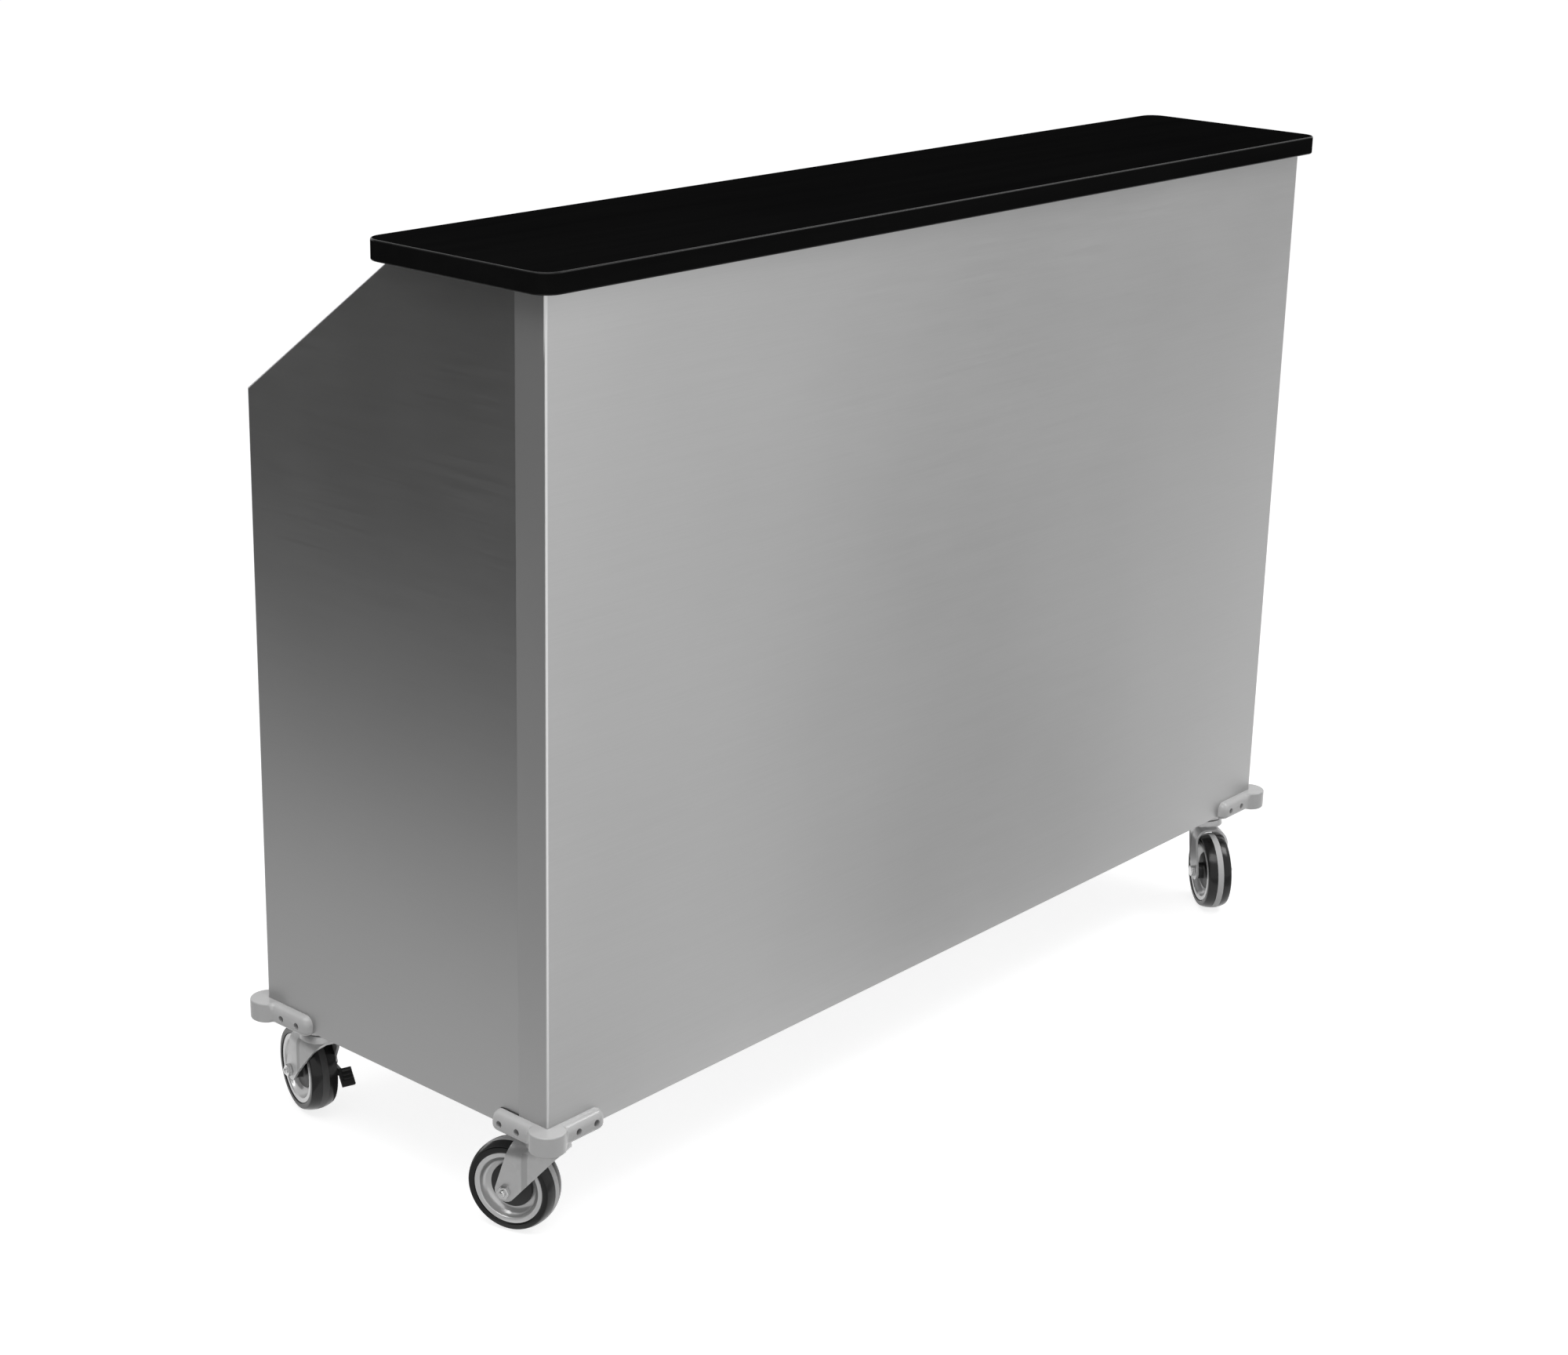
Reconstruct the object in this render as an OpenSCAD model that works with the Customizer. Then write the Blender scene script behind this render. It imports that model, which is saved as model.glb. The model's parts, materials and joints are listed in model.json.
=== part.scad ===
// Mobile bar unit: a stainless cabinet on four swivel casters, with a dark counter, a work deck,
// an insulated ice bin, bottle wells and a speed rail. Millimetres, +Z up, the customer's side
// faces -Y, and the origin is on the floor under the middle of the cabinet.

/* [Cabinet] */
// Width of the cabinet over the front panel
body_w = 1340; // [1200:10:1700]
// Depth of the cabinet over the end panels
body_d = 450; // [440:5:560]
// Height of the panels, from the caster plates to the counter
body_h = 890; // [860:5:1000]
// Height of an end panel at its rear edge
rear_h = 722; // [700:2:760]
// Depth of an end panel's level top edge
slope_top_d = 222; // [200:2:240]
// Thickness of the panel sheet
sheet = 1.5; // [1:0.1:2]
// Width of the front panel's wrap round each end
front_return = 42; // [37:1:48]
// Width of the folded edges
flange = 22; // [16:1:26]

/* [Counter] */
// Thickness of the counter
counter_t = 22; // [18:1:40]
// Overhang of the counter past the panels
counter_overhang = 18; // [8:1:20]
// Corner radius of the counter in plan
counter_corner_r = 22; // [10:1:60]
// Width of the two rails under the counter
counter_rail_w = 35; // [28:1:40]
// Height of the two rails under the counter
counter_rail_h = 18; // [14:1:20]

/* [Base] */
// Height of the base channels and rails
base_h = 30; // [26:1:40]
// Width of the channels that carry the casters
channel_w = 100; // [96:1:130]
// Thickness of the channel plate
channel_t = 3; // [2:0.5:4]

/* [Work deck] */
// Height of the deck above the panels' lower edge
deck_h = 663; // [630:1:668]
// Depth of the deck's rear lip
deck_lip = 28; // [20:1:40]
// Height of the side shelves above the panels' lower edge
shelf_h = 320; // [220:5:400]

/* [Ice bin] */
// Inside width of the ice bin
bin_w = 460; // [380:5:480]
// Inside size of the bin and of the wells from front to rear
bin_d = 160; // [130:2:166]
// Inside depth of the ice bin
bin_depth = 260; // [200:5:280]
// Corner radius of the bin in plan
bin_corner_r = 15; // [8:1:30]
// Thickness of the insulation
insulation_t = 22; // [12:1:26]
// Wall of the pressed tubs
tub_wall = 1.2; // [0.8:0.1:1.6]
// Width of the rim that rests on the deck
tub_rim = 12; // [8:1:14]
// Width of a bottle well
well_w = 300; // [220:5:320]
// Depth of a bottle well
well_depth = 150; // [110:5:180]

/* [Lid] */
// Height of the lid
lid_h = 9; // [8:0.5:12]
// Radius of the hinge pin
hinge_pin_r = 2.5; // [2:0.1:3]
// Outer radius of the hinge knuckles
knuckle_r = 4.5; // [4.2:0.1:5]

/* [Drain] */
// Outer radius of the drain tailpiece
drain_r = 14; // [11:0.5:16]
// Length of the drain tailpiece below the bin
drain_l = 70; // [60:1:90]
// Length of the valve lever
lever_l = 85; // [60:1:110]

/* [Speed rail] */
// Depth of the speed rail from front to rear
rail_d = 100; // [92:1:104]
// Drop of the speed rail's floor below the deck
rail_drop = 150; // [120:1:170]
// Height of the speed rail's outer wall
rail_wall_h = 85; // [60:1:100]

/* [Casters] */
// Overall height of a caster
caster_h = 135; // [134:1:150]
// Diameter of the wheels
wheel_d = 102; // [98:1:104]
// Width of the tyres
tread_w = 32; // [28:1:34]
// Distance from the swivel axis to the axle
caster_trail = 40; // [36:1:44]
// Distance from the cabinet's faces to the swivel axes
caster_inset = 42; // [38:1:48]
// Rest turn of the front left caster
swivel_front_left = 18; // [-180:1:180]
// Rest turn of the front right caster
swivel_front_right = 140; // [-180:1:180]
// Rest turn of the rear left caster
swivel_rear_left = -17; // [-180:1:180]
// Rest turn of the rear right caster
swivel_rear_right = -20; // [-180:1:180]

/* [Bumpers] */
// Length of a bumper's arms from the corner
bumper_arm = 77; // [70:1:90]
// Height of a bumper
bumper_h = 23; // [20:1:28]
// Thickness of a bumper's arms
bumper_t = 11; // [9:0.5:14]
// Radius of a bumper's nose round the corner
bumper_nose_r = 20; // [18:1:26]
// How far a bumper hangs below the panels
bumper_drop = 4; // [2:0.5:6]

/* [Hidden] */

$fn = 64;
eps = 0.01;

// Room between pressed or turned pieces that are fixed together
fit_gap = 0.2;
// Running clearance on the radius of a pin or shaft
run_gap = 0.06;
// Room between pieces that pass each other
pass_gap = 0.4;
// How far a cut reaches past the faces it opens
over = 1;

// Planes of the cabinet
half_w = body_w / 2;
end_out = half_w - sheet;
end_in = end_out - sheet;
front_y = -body_d / 2;
rear_y = body_d / 2;
floor_z = caster_h;
top_z = floor_z + body_h;
slope_y = front_y + slope_top_d;
rear_top_z = floor_z + rear_h;
inside_front_y = front_y + sheet;
inside_rear_y = rear_y - sheet;
flange_in = end_in - flange;

// Base
shelf_floor_z = floor_z + base_h;
base_top_z = shelf_floor_z + sheet;
channel_in = end_in - channel_w;
rail_wall = 1.5;

// Work deck and what hangs in it
deck_z = floor_z + deck_h;
deck_under_z = deck_z - sheet;
rail_clear = 4;
deck_rear_y = rear_y - rail_clear - rail_d;
cut_gap = 0.5;
deck_joint = 0.3;
liner_out = tub_wall;
foam_in = liner_out + fit_gap;
foam_out = foam_in + insulation_t;
jacket_in = foam_out + fit_gap;
jacket_out = jacket_in + tub_wall;
jacket_gap = 2;
board_joint = 0.3;
bin_rear_y = deck_rear_y - sheet - jacket_gap - jacket_out;
bin_front_y = bin_rear_y - bin_d;
bin_mid_y = (bin_front_y + bin_rear_y) / 2;
bin_floor_z = deck_z - bin_depth;
jacket_floor_z = bin_floor_z - jacket_out;
divider_gap = 4;
divider_in = bin_w / 2 + jacket_out + divider_gap;
divider_out = divider_in + sheet;
divider_rear_gap = 2;
divider_rear_y = deck_rear_y - sheet - divider_rear_gap;
well_mid_x = (divider_out + end_in) / 2;
shelf_z = floor_z + shelf_h;
shelf_setback = 10;
shelf_rear_y = divider_rear_y - shelf_setback;
shelf_lip = 20;
base_lip_gap = 1;
rail_top_drop = 3;

// Ice bin lid
rim_top_z = deck_z + sheet;
lid_margin = 9;
lid_half_w = bin_w / 2 + lid_margin;
lid_front_y = bin_front_y - lid_margin;
lid_rear_y = bin_rear_y + lid_margin;
lid_top_z = rim_top_z + lid_h;
hinge_rim_gap = 1;
hinge_rise = 0.6;
hinge_y = bin_front_y - tub_rim - knuckle_r - hinge_rim_gap;
hinge_z = rim_top_z + knuckle_r + hinge_rise;
hinge_leaf_d = 26;
hinge_segments = 5;
hinge_end = 20;
hinge_half_l = bin_w / 2 - hinge_end;
hinge_segment_l = 2 * hinge_half_l / hinge_segments;
handle_half_l = 60;
handle_r = 4;
handle_rise = 24;
handle_setback = 28;
handle_y = lid_rear_y - handle_setback;
handle_foot_r = handle_r + 4;
handle_foot_t = 2;
hinge_web_t = 1.6;
pin_overhang = 5;

// Drain
drain_wall = 3.5;
drain_flange_r = drain_r + 8;
drain_flange_t = 1.5;
drain_nut_t = 8;
drain_nut_r = drain_r + 8;
socket_depth = 15;
valve_r = drain_r + 6;
valve_half_h = 28;
valve_z = bin_floor_z - drain_l + socket_depth - valve_half_h;
valve_bore_r = drain_r - drain_wall - 1.5;
ball_r = valve_bore_r + 4;
barb_r = valve_bore_r + 2.5;
barb_l = 30;
boss_r = 8.5;
boss_y = bin_mid_y + valve_r + 6;
stem_r = 4;
stem_end_y = boss_y + 9;
lever_t = 5;
lever_w = 14;
lever_eye_r = lever_w / 2 + 1;
lever_y = boss_y + pass_gap;

// Casters
wheel_r = wheel_d / 2;
plate_half = 33;
plate_t = 3.5;
plate_corner_r = 8;
plate_bolt = 24;
bolt_r = 4;
bolt_hole_r = bolt_r + fit_gap;
bolt_head_r = 7;
bolt_head_t = 5;
nut_t = 6;
bolt_tip = 2;
king_r = 6;
king_head_r = 9;
king_head_t = 6;
king_gap = 1.1;
race_r = 22;
race_h = 16;
swivel_gap = 0.5;
crown_t = 3.5;
crown_top_z = caster_h - plate_t - race_h;
crown_z = crown_top_z - crown_t;
fork_t = 3;
fork_lead = 24;
fork_trail = 34;
fork_bend_r = 18;
leg_lead_drop = 4;
leg_trail_rise = 1;
hub_half_w = tread_w / 2 + 3;
leg_in = hub_half_w + 0.5;
leg_out = leg_in + fork_t;
axle_r = 5;
axle_boss_r = 12;
axle_head_r = 9;
axle_head_t = 6.5;
axle_tip = 3;
rim_r = wheel_r - 10;
lip_r = rim_r - 5;
hub_r = 24.5;
hub_face = 8.5;
hub_boss_r = 11;
rim_face = tread_w / 2 - 1;
rim_lip_w = 1;
rim_lip_step = 2;
web_face = 7;
dish_face = web_face + 1;
crown_arc_r = 40;

// Brake pedals: a lever on the axle bolt with a tread bent outwards
pedal_x = leg_out + pass_gap;
pedal_plate_t = 4;
pedal_w = 15.5;
pedal_eye_r = axle_head_r + 2;
pedal_arm_w = 9;
pedal_tread_t = 5;
pedal_root_out = 31;
pedal_root_rise = 3;
pedal_tip_out = 45;
pedal_tip_drop = 13;
pedal_root = [caster_trail - pedal_root_out, wheel_r + pedal_root_rise];
pedal_tip = [caster_trail - pedal_tip_out, wheel_r - pedal_tip_drop];
pedal_head_x = pedal_x + pedal_plate_t + pass_gap;

// Bumpers
bumper_z = floor_z - bumper_drop;
bumper_top_r = 8;
bumper_foot_r = 3;
nose_edge_r = 2;
bumper_screw_at = [35, 61];
bumper_screw_drop = 1;
bumper_screw_z = bumper_z + bumper_h / 2 - bumper_screw_drop;
bumper_hole_r = 3.5;
bumper_seat = 3;
screw_r = 2;
screw_hole_r = screw_r + fit_gap;
screw_head_r = 3.2;
screw_head_t = 2;
screw_reach = 6;

// Counter screws
counter_screw_n = 5;
counter_screw_in = 12;
counter_screw_margin = 60;
counter_rail_setback = 8;
counter_rail_end = 2;
flange_end_gap = 1;
counter_front_rail_y = inside_front_y + flange + counter_rail_w / 2;
counter_rear_rail_y = slope_y - counter_rail_setback - counter_rail_w / 2;

STEEL = "silver";
INNER_STEEL = "lightgray";
ZINC = "gray";
BLACK = "#202020";
GREY_PLASTIC = "#b0b0b0";

// Helpers

module block(low, high) {
    translate(low) cube(high - low);
}

// Rectangle in plan with round corners, grown by an offset on every side
module plan(w, d, r, grow = 0) {
    big_w = w + 2 * grow;
    big_d = d + 2 * grow;
    big_r = r + grow;
    square([big_w - 2 * big_r, big_d], center = true);
    square([big_w, big_d - 2 * big_r], center = true);
    for (x = [-1, 1])
        for (y = [-1, 1])
            translate([x * (big_w / 2 - big_r), y * (big_d / 2 - big_r)]) circle(big_r);
}

// Solid whose outline lies in the YZ plane, from x0 to x1
module along_x(x0, x1) {
    translate([x0, 0, 0]) rotate([90, 0, 90]) linear_extrude(x1 - x0) children();
}

module along_y(y0, y1) {
    translate([0, y1, 0]) rotate([90, 0, 0]) linear_extrude(y1 - y0) children();
}

// Bar with round cross-section along X, about (y, z)
module x_pin(r, x0, x1, y = 0, z = 0) {
    translate([x0, y, z]) rotate([0, 90, 0]) cylinder(r = r, h = x1 - x0);
}

module mirror_x(side) {
    if (side > 0) mirror([1, 0, 0]) children();
    else children();
}

// Places a piece at a corner: the box fills the corner's +X +Y quarter
module at_corner(side_x, side_y) {
    corner_x = side_y > 0 ? end_out : half_w;
    mirror([side_x > 0 ? 1 : 0, 0, 0])
        mirror([0, side_y > 0 ? 1 : 0, 0])
            translate([-corner_x, front_y, 0])
                children();
}

// Places a piece on every bumper screw, with +Z pointing out of the panel
module at_bumper_screws(side_x, side_y) {
    at_corner(side_x, side_y)
        for (along = bumper_screw_at) {
            translate([along, 0, bumper_screw_z]) rotate([90, 0, 0]) children();
            translate([0, along, bumper_screw_z]) rotate([0, -90, 0]) children();
        }
}

module all_bumper_screws() {
    for (x = [-1, 1])
        for (y = [-1, 1])
            at_bumper_screws(x, y) children();
}

module bumper_screw_bores() {
    all_bumper_screws() translate([0, 0, -2 * screw_reach]) cylinder(r = screw_hole_r, h = 3 * screw_reach);
}

// Places a piece on a caster's swivel axis
module at_swivel(side_x, side_y, turn = 0) {
    translate([side_x * (half_w - caster_inset), side_y * (rear_y - caster_inset), 0])
        rotate([0, 0, turn])
            children();
}

module all_plate_bolts() {
    for (x = [-1, 1])
        for (y = [-1, 1])
            at_swivel(x, y)
                for (bolt_x = [-plate_bolt, plate_bolt])
                    for (bolt_y = [-plate_bolt, plate_bolt])
                        translate([bolt_x, bolt_y, 0])
                            children();
}

// Point where the line from p touches a circle, on the given side
function touch(p, c, r, side) =
    let (d = norm(c - p), a = atan2(c[1] - p[1], c[0] - p[0]) + side * asin(r / d), l = sqrt(d * d - r * r))
    [p[0] + l * cos(a), p[1] + l * sin(a)];

// Strip of the given thickness from a to b, on the left of the way
module strip(a, b, t) {
    way = (b - a) / norm(b - a);
    left = [-way[1], way[0]] * t;
    polygon([a, b, b + left, a + left]);
}

// Panels

module front_panel() {
    top_half = flange_in - flange_end_gap;
    color(STEEL) difference() {
        union() {
            block([-half_w, front_y, floor_z], [half_w, inside_front_y, top_z]);
            for (x = [-half_w, end_out])
                block([x, front_y, floor_z], [x + sheet, front_y + front_return, top_z]);
            block([-top_half, front_y, top_z - sheet], [top_half, front_y + flange, top_z]);
        }
        bumper_screw_bores();
    }
}

module end_panel_outline() {
    polygon([
        [inside_front_y, floor_z], [rear_y, floor_z], [rear_y, rear_top_z],
        [slope_y, top_z], [inside_front_y, top_z]
    ]);
}

module end_panel(side) {
    color(STEEL) difference() {
        mirror_x(side) {
            along_x(-end_out, -end_in) end_panel_outline();
            along_x(-end_out, -flange_in) {
                strip([slope_y, top_z], [inside_front_y, top_z], sheet);
                strip([rear_y, rear_top_z], [slope_y, top_z], sheet);
                strip([rear_y, floor_z], [rear_y, rear_top_z], sheet);
            }
        }
        bumper_screw_bores();
    }
}

module left_end_panel() {
    end_panel(-1);
}

module right_end_panel() {
    end_panel(1);
}

// Counter

module at_counter_screws(y) {
    half_span = flange_in - counter_screw_margin;
    for (i = [0 : counter_screw_n - 1])
        translate([-half_span + 2 * half_span * i / (counter_screw_n - 1), y, top_z])
            children();
}

module counter_screw_bores() {
    for (y = [counter_front_rail_y, counter_rear_rail_y])
        at_counter_screws(y)
            translate([0, 0, -sheet - over])
                cylinder(r = screw_hole_r, h = sheet + counter_screw_in + 2 * over);
}

module counter_top() {
    depth = slope_top_d + 2 * counter_overhang;
    color(BLACK) difference() {
        translate([0, slope_y + counter_overhang - depth / 2, top_z])
            linear_extrude(counter_t)
                plan(body_w + 2 * counter_overhang, depth, counter_corner_r);
        counter_screw_bores();
    }
}

// Channel under the counter, open downwards
module counter_rail(y) {
    half_l = flange_in - counter_rail_end;
    low_y = y - counter_rail_w / 2;
    high_y = y + counter_rail_w / 2;
    low_z = top_z - counter_rail_h;
    color(INNER_STEEL) difference() {
        block([-half_l, low_y, low_z], [half_l, high_y, top_z]);
        block(
            [-half_l - over, low_y + sheet, low_z - over],
            [half_l + over, high_y - sheet, top_z - sheet]
        );
        counter_screw_bores();
    }
}

module counter_front_rail() {
    counter_rail(counter_front_rail_y);
}

module counter_rear_rail() {
    counter_rail(counter_rear_rail_y);
}

module counter_screws() {
    color(ZINC)
        for (y = [counter_front_rail_y, counter_rear_rail_y])
            at_counter_screws(y) {
                translate([0, 0, -sheet - screw_head_t]) cylinder(r = screw_head_r, h = screw_head_t);
                translate([0, 0, -sheet - eps]) cylinder(r = screw_r, h = sheet + counter_screw_in);
            }
}

// Base

module base_channel(side) {
    color(INNER_STEEL) difference() {
        mirror_x(side) {
            block([-end_in, inside_front_y, floor_z], [-channel_in, inside_rear_y, floor_z + channel_t]);
            for (x = [-end_in, -channel_in - channel_t])
                block([x, inside_front_y, floor_z], [x + channel_t, inside_rear_y, shelf_floor_z]);
        }
        bumper_screw_bores();
        all_plate_bolts()
            translate([0, 0, floor_z - over])
                cylinder(r = bolt_hole_r, h = channel_t + 2 * over);
    }
}

module left_base_channel() {
    base_channel(-1);
}

module right_base_channel() {
    base_channel(1);
}

// Square tube between the base channels
module base_rail(y) {
    color(INNER_STEEL) difference() {
        block([-channel_in, y, floor_z], [channel_in, y + base_h, shelf_floor_z]);
        block(
            [-channel_in - over, y + rail_wall, floor_z + rail_wall],
            [channel_in + over, y + base_h - rail_wall, shelf_floor_z - rail_wall]
        );
    }
}

module front_base_rail() {
    base_rail(inside_front_y);
}

module rear_base_rail() {
    base_rail(inside_rear_y - base_h);
}

module base_shelf() {
    lip_half = flange_in - pass_gap;
    color(INNER_STEEL) difference() {
        union() {
            block([-end_in, inside_front_y, shelf_floor_z], [end_in, inside_rear_y, base_top_z]);
            block([-lip_half, inside_front_y, shelf_floor_z], [lip_half, rear_y, base_top_z]);
            block([-lip_half, inside_rear_y, floor_z + base_lip_gap], [lip_half, rear_y, base_top_z]);
        }
        bumper_screw_bores();
    }
}

// Inside of the cabinet

module divider(side) {
    color(INNER_STEEL) mirror_x(-side) {
        block([divider_in, inside_front_y, base_top_z], [divider_out, divider_rear_y, deck_under_z]);
        block(
            [divider_in, divider_rear_y - sheet, base_top_z],
            [divider_in + flange, divider_rear_y, deck_under_z]
        );
    }
}

module left_divider() {
    divider(-1);
}

module right_divider() {
    divider(1);
}

module side_shelf(side) {
    color(INNER_STEEL) mirror_x(-side) {
        block([divider_out, inside_front_y, shelf_z - sheet], [end_in, shelf_rear_y, shelf_z]);
        block([divider_out, shelf_rear_y - sheet, shelf_z - shelf_lip], [end_in, shelf_rear_y, shelf_z]);
    }
}

module left_shelf() {
    side_shelf(-1);
}

module right_shelf() {
    side_shelf(1);
}

// Deck of six strips round the three mouths, with narrow joints that the tubs' rims bridge
module work_deck() {
    cut = liner_out + cut_gap;
    mouth_front_y = bin_front_y - cut;
    mouth_rear_y = bin_rear_y + cut;
    cross_front_y = mouth_front_y + deck_joint;
    cross_rear_y = mouth_rear_y - deck_joint;
    bin_x = bin_w / 2 + cut;
    well_in_x = well_mid_x - well_w / 2 - cut;
    well_out_x = well_mid_x + well_w / 2 + cut;
    color(STEEL) {
        block([-end_in, inside_front_y, deck_under_z], [end_in, mouth_front_y, deck_z]);
        block([-end_in, mouth_rear_y, deck_under_z], [end_in, deck_rear_y, deck_z]);
        block([-end_in, deck_rear_y - sheet, deck_z - deck_lip], [end_in, deck_rear_y, deck_z]);
        for (side = [-1, 1])
            mirror_x(-side) {
                block([bin_x, cross_front_y, deck_under_z], [well_in_x, cross_rear_y, deck_z]);
                block([well_out_x, cross_front_y, deck_under_z], [end_in, cross_rear_y, deck_z]);
            }
    }
}

// Pressed tub with a rim, its mouth at z = 0
module tub(w, depth) {
    difference() {
        union() {
            linear_extrude(sheet) plan(w, bin_d, bin_corner_r, tub_rim);
            translate([0, 0, -depth - tub_wall])
                linear_extrude(depth + tub_wall + eps)
                    plan(w, bin_d, bin_corner_r, tub_wall);
        }
        translate([0, 0, -depth])
            linear_extrude(depth + sheet + over)
                plan(w, bin_d, bin_corner_r);
    }
}

module drain_hole() {
    translate([0, bin_mid_y, jacket_floor_z - over])
        cylinder(r = drain_r + fit_gap, h = bin_floor_z - jacket_floor_z + 2 * over);
}

module ice_bin_liner() {
    color(STEEL) difference() {
        translate([0, bin_mid_y, deck_z]) tub(bin_w, bin_depth);
        drain_hole();
    }
}

// Five boards round the liner
module ice_bin_insulation() {
    out_x = bin_w / 2 + foam_out;
    front_in_y = bin_front_y - foam_in;
    front_out_y = bin_front_y - foam_out;
    rear_in_y = bin_rear_y + foam_in;
    rear_out_y = bin_rear_y + foam_out;
    board_floor_z = bin_floor_z - foam_in;
    board_z = board_floor_z + board_joint;
    color("khaki") {
        difference() {
            block([-out_x, front_out_y, bin_floor_z - foam_out], [out_x, rear_out_y, board_floor_z]);
            drain_hole();
        }
        block([-out_x, front_out_y, board_z], [out_x, front_in_y, deck_under_z]);
        block([-out_x, rear_in_y, board_z], [out_x, rear_out_y, deck_under_z]);
        for (x = [-out_x, out_x - insulation_t])
            block(
                [x, front_in_y + board_joint, board_z],
                [x + insulation_t, rear_in_y - board_joint, deck_under_z]
            );
    }
}

// Folded box round the boards, open at the top
module ice_bin_jacket() {
    in_x = bin_w / 2 + jacket_in;
    out_x = bin_w / 2 + jacket_out;
    color(INNER_STEEL) difference() {
        block(
            [-out_x, bin_front_y - jacket_out, jacket_floor_z],
            [out_x, bin_rear_y + jacket_out, deck_under_z]
        );
        block(
            [-in_x, bin_front_y - jacket_in, bin_floor_z - jacket_in],
            [in_x, bin_rear_y + jacket_in, deck_under_z + over]
        );
        drain_hole();
    }
}

module bottle_well(side) {
    color(STEEL) translate([side * well_mid_x, bin_mid_y, deck_z]) tub(well_w, well_depth);
}

module left_bottle_well() {
    bottle_well(-1);
}

module right_bottle_well() {
    bottle_well(1);
}

module speed_rail() {
    low_z = deck_z - rail_drop;
    high_z = deck_z - rail_top_drop;
    out_y = deck_rear_y + rail_d;
    wall_z = low_z + rail_wall_h;
    color(STEEL) difference() {
        along_x(-end_in, end_in)
            polygon([
                [deck_rear_y, low_z], [out_y, low_z], [out_y, wall_z],
                [deck_rear_y + sheet, high_z], [deck_rear_y, high_z]
            ]);
        block(
            [-end_in + sheet, deck_rear_y + sheet, low_z + sheet],
            [end_in - sheet, out_y - sheet, high_z + over]
        );
    }
}

// Ice bin lid

function knuckle_start(i) = -hinge_half_l + i * hinge_segment_l + pass_gap / 2;
function knuckle_end(i) = knuckle_start(i) + hinge_segment_l - pass_gap;

module hinge_knuckle(i) {
    x_pin(knuckle_r, knuckle_start(i), knuckle_end(i), hinge_y, hinge_z);
}

module hinge_bore(r) {
    x_pin(r, -hinge_half_l - pin_overhang, hinge_half_l + pin_overhang, hinge_y, hinge_z);
}

module ice_bin_lid() {
    edge_z = rim_top_z + pass_gap;
    color(STEEL) difference() {
        union() {
            difference() {
                block([-lid_half_w, lid_front_y, edge_z], [lid_half_w, lid_rear_y, lid_top_z]);
                block(
                    [-lid_half_w + sheet, lid_front_y + sheet, edge_z - over],
                    [lid_half_w - sheet, lid_rear_y - sheet, lid_top_z - sheet]
                );
            }
            for (i = [1 : 2 : hinge_segments - 1]) {
                hinge_knuckle(i);
                block(
                    [knuckle_start(i), hinge_y, hinge_z - hinge_web_t / 2],
                    [knuckle_end(i), lid_front_y + sheet / 2, hinge_z + hinge_web_t / 2]
                );
            }
        }
        hinge_bore(hinge_pin_r + run_gap);
    }
}

module lid_hinge_leaf() {
    color(INNER_STEEL) difference() {
        union() {
            block(
                [-hinge_half_l, hinge_y - knuckle_r - hinge_leaf_d, deck_z],
                [hinge_half_l, hinge_y - knuckle_r, deck_z + sheet]
            );
            for (i = [0 : 2 : hinge_segments - 1]) {
                hinge_knuckle(i);
                block(
                    [knuckle_start(i), hinge_y - knuckle_r - over, deck_z],
                    [knuckle_end(i), hinge_y, hinge_z]
                );
            }
        }
        hinge_bore(hinge_pin_r + fit_gap / 2);
    }
}

module lid_hinge_pin() {
    color(ZINC) hinge_bore(hinge_pin_r);
}

module lid_handle() {
    color(ZINC) {
        bar_z = lid_top_z + handle_rise;
        x_pin(handle_r, -handle_half_l, handle_half_l, handle_y, bar_z);
        for (x = [-handle_half_l, handle_half_l])
            translate([x, handle_y, 0]) {
                translate([0, 0, lid_top_z]) cylinder(r = handle_r, h = handle_rise);
                translate([0, 0, bar_z]) sphere(handle_r);
                translate([0, 0, lid_top_z]) cylinder(r = handle_foot_r, h = handle_foot_t);
            }
    }
}

// Drain

module drain_tailpiece() {
    color("darkgray") translate([0, bin_mid_y, 0]) {
        difference() {
            union() {
                translate([0, 0, bin_floor_z]) cylinder(r = drain_flange_r, h = drain_flange_t);
                translate([0, 0, bin_floor_z - drain_l]) cylinder(r = drain_r, h = drain_l + eps);
            }
            translate([0, 0, bin_floor_z - drain_l - over])
                cylinder(r = drain_r - drain_wall, h = drain_l + drain_flange_t + 2 * over);
        }
        translate([0, 0, jacket_floor_z - drain_nut_t])
            difference() {
                cylinder(r = drain_nut_r, h = drain_nut_t, $fn = 6);
                translate([0, 0, -over]) cylinder(r = drain_r + fit_gap / 2, h = drain_nut_t + 2 * over);
            }
    }
}

module y_pin(r, y0, y1) {
    translate([0, y0, valve_z]) rotate([-90, 0, 0]) cylinder(r = r, h = y1 - y0);
}

module drain_valve() {
    color("goldenrod") difference() {
        union() {
            translate([0, bin_mid_y, valve_z - valve_half_h]) cylinder(r = valve_r, h = 2 * valve_half_h);
            translate([0, bin_mid_y, valve_z - valve_half_h - barb_l])
                cylinder(r = barb_r, h = barb_l + eps);
            y_pin(boss_r, bin_mid_y, boss_y);
        }
        translate([0, bin_mid_y, valve_z - valve_half_h - barb_l - over])
            cylinder(r = valve_bore_r, h = 2 * valve_half_h + barb_l + 2 * over);
        translate([0, bin_mid_y, valve_z + valve_half_h - socket_depth])
            cylinder(r = drain_r + fit_gap / 2, h = socket_depth + over);
        translate([0, bin_mid_y, valve_z]) sphere(ball_r + pass_gap);
        y_pin(stem_r + run_gap, bin_mid_y, boss_y + over);
    }
}

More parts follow.
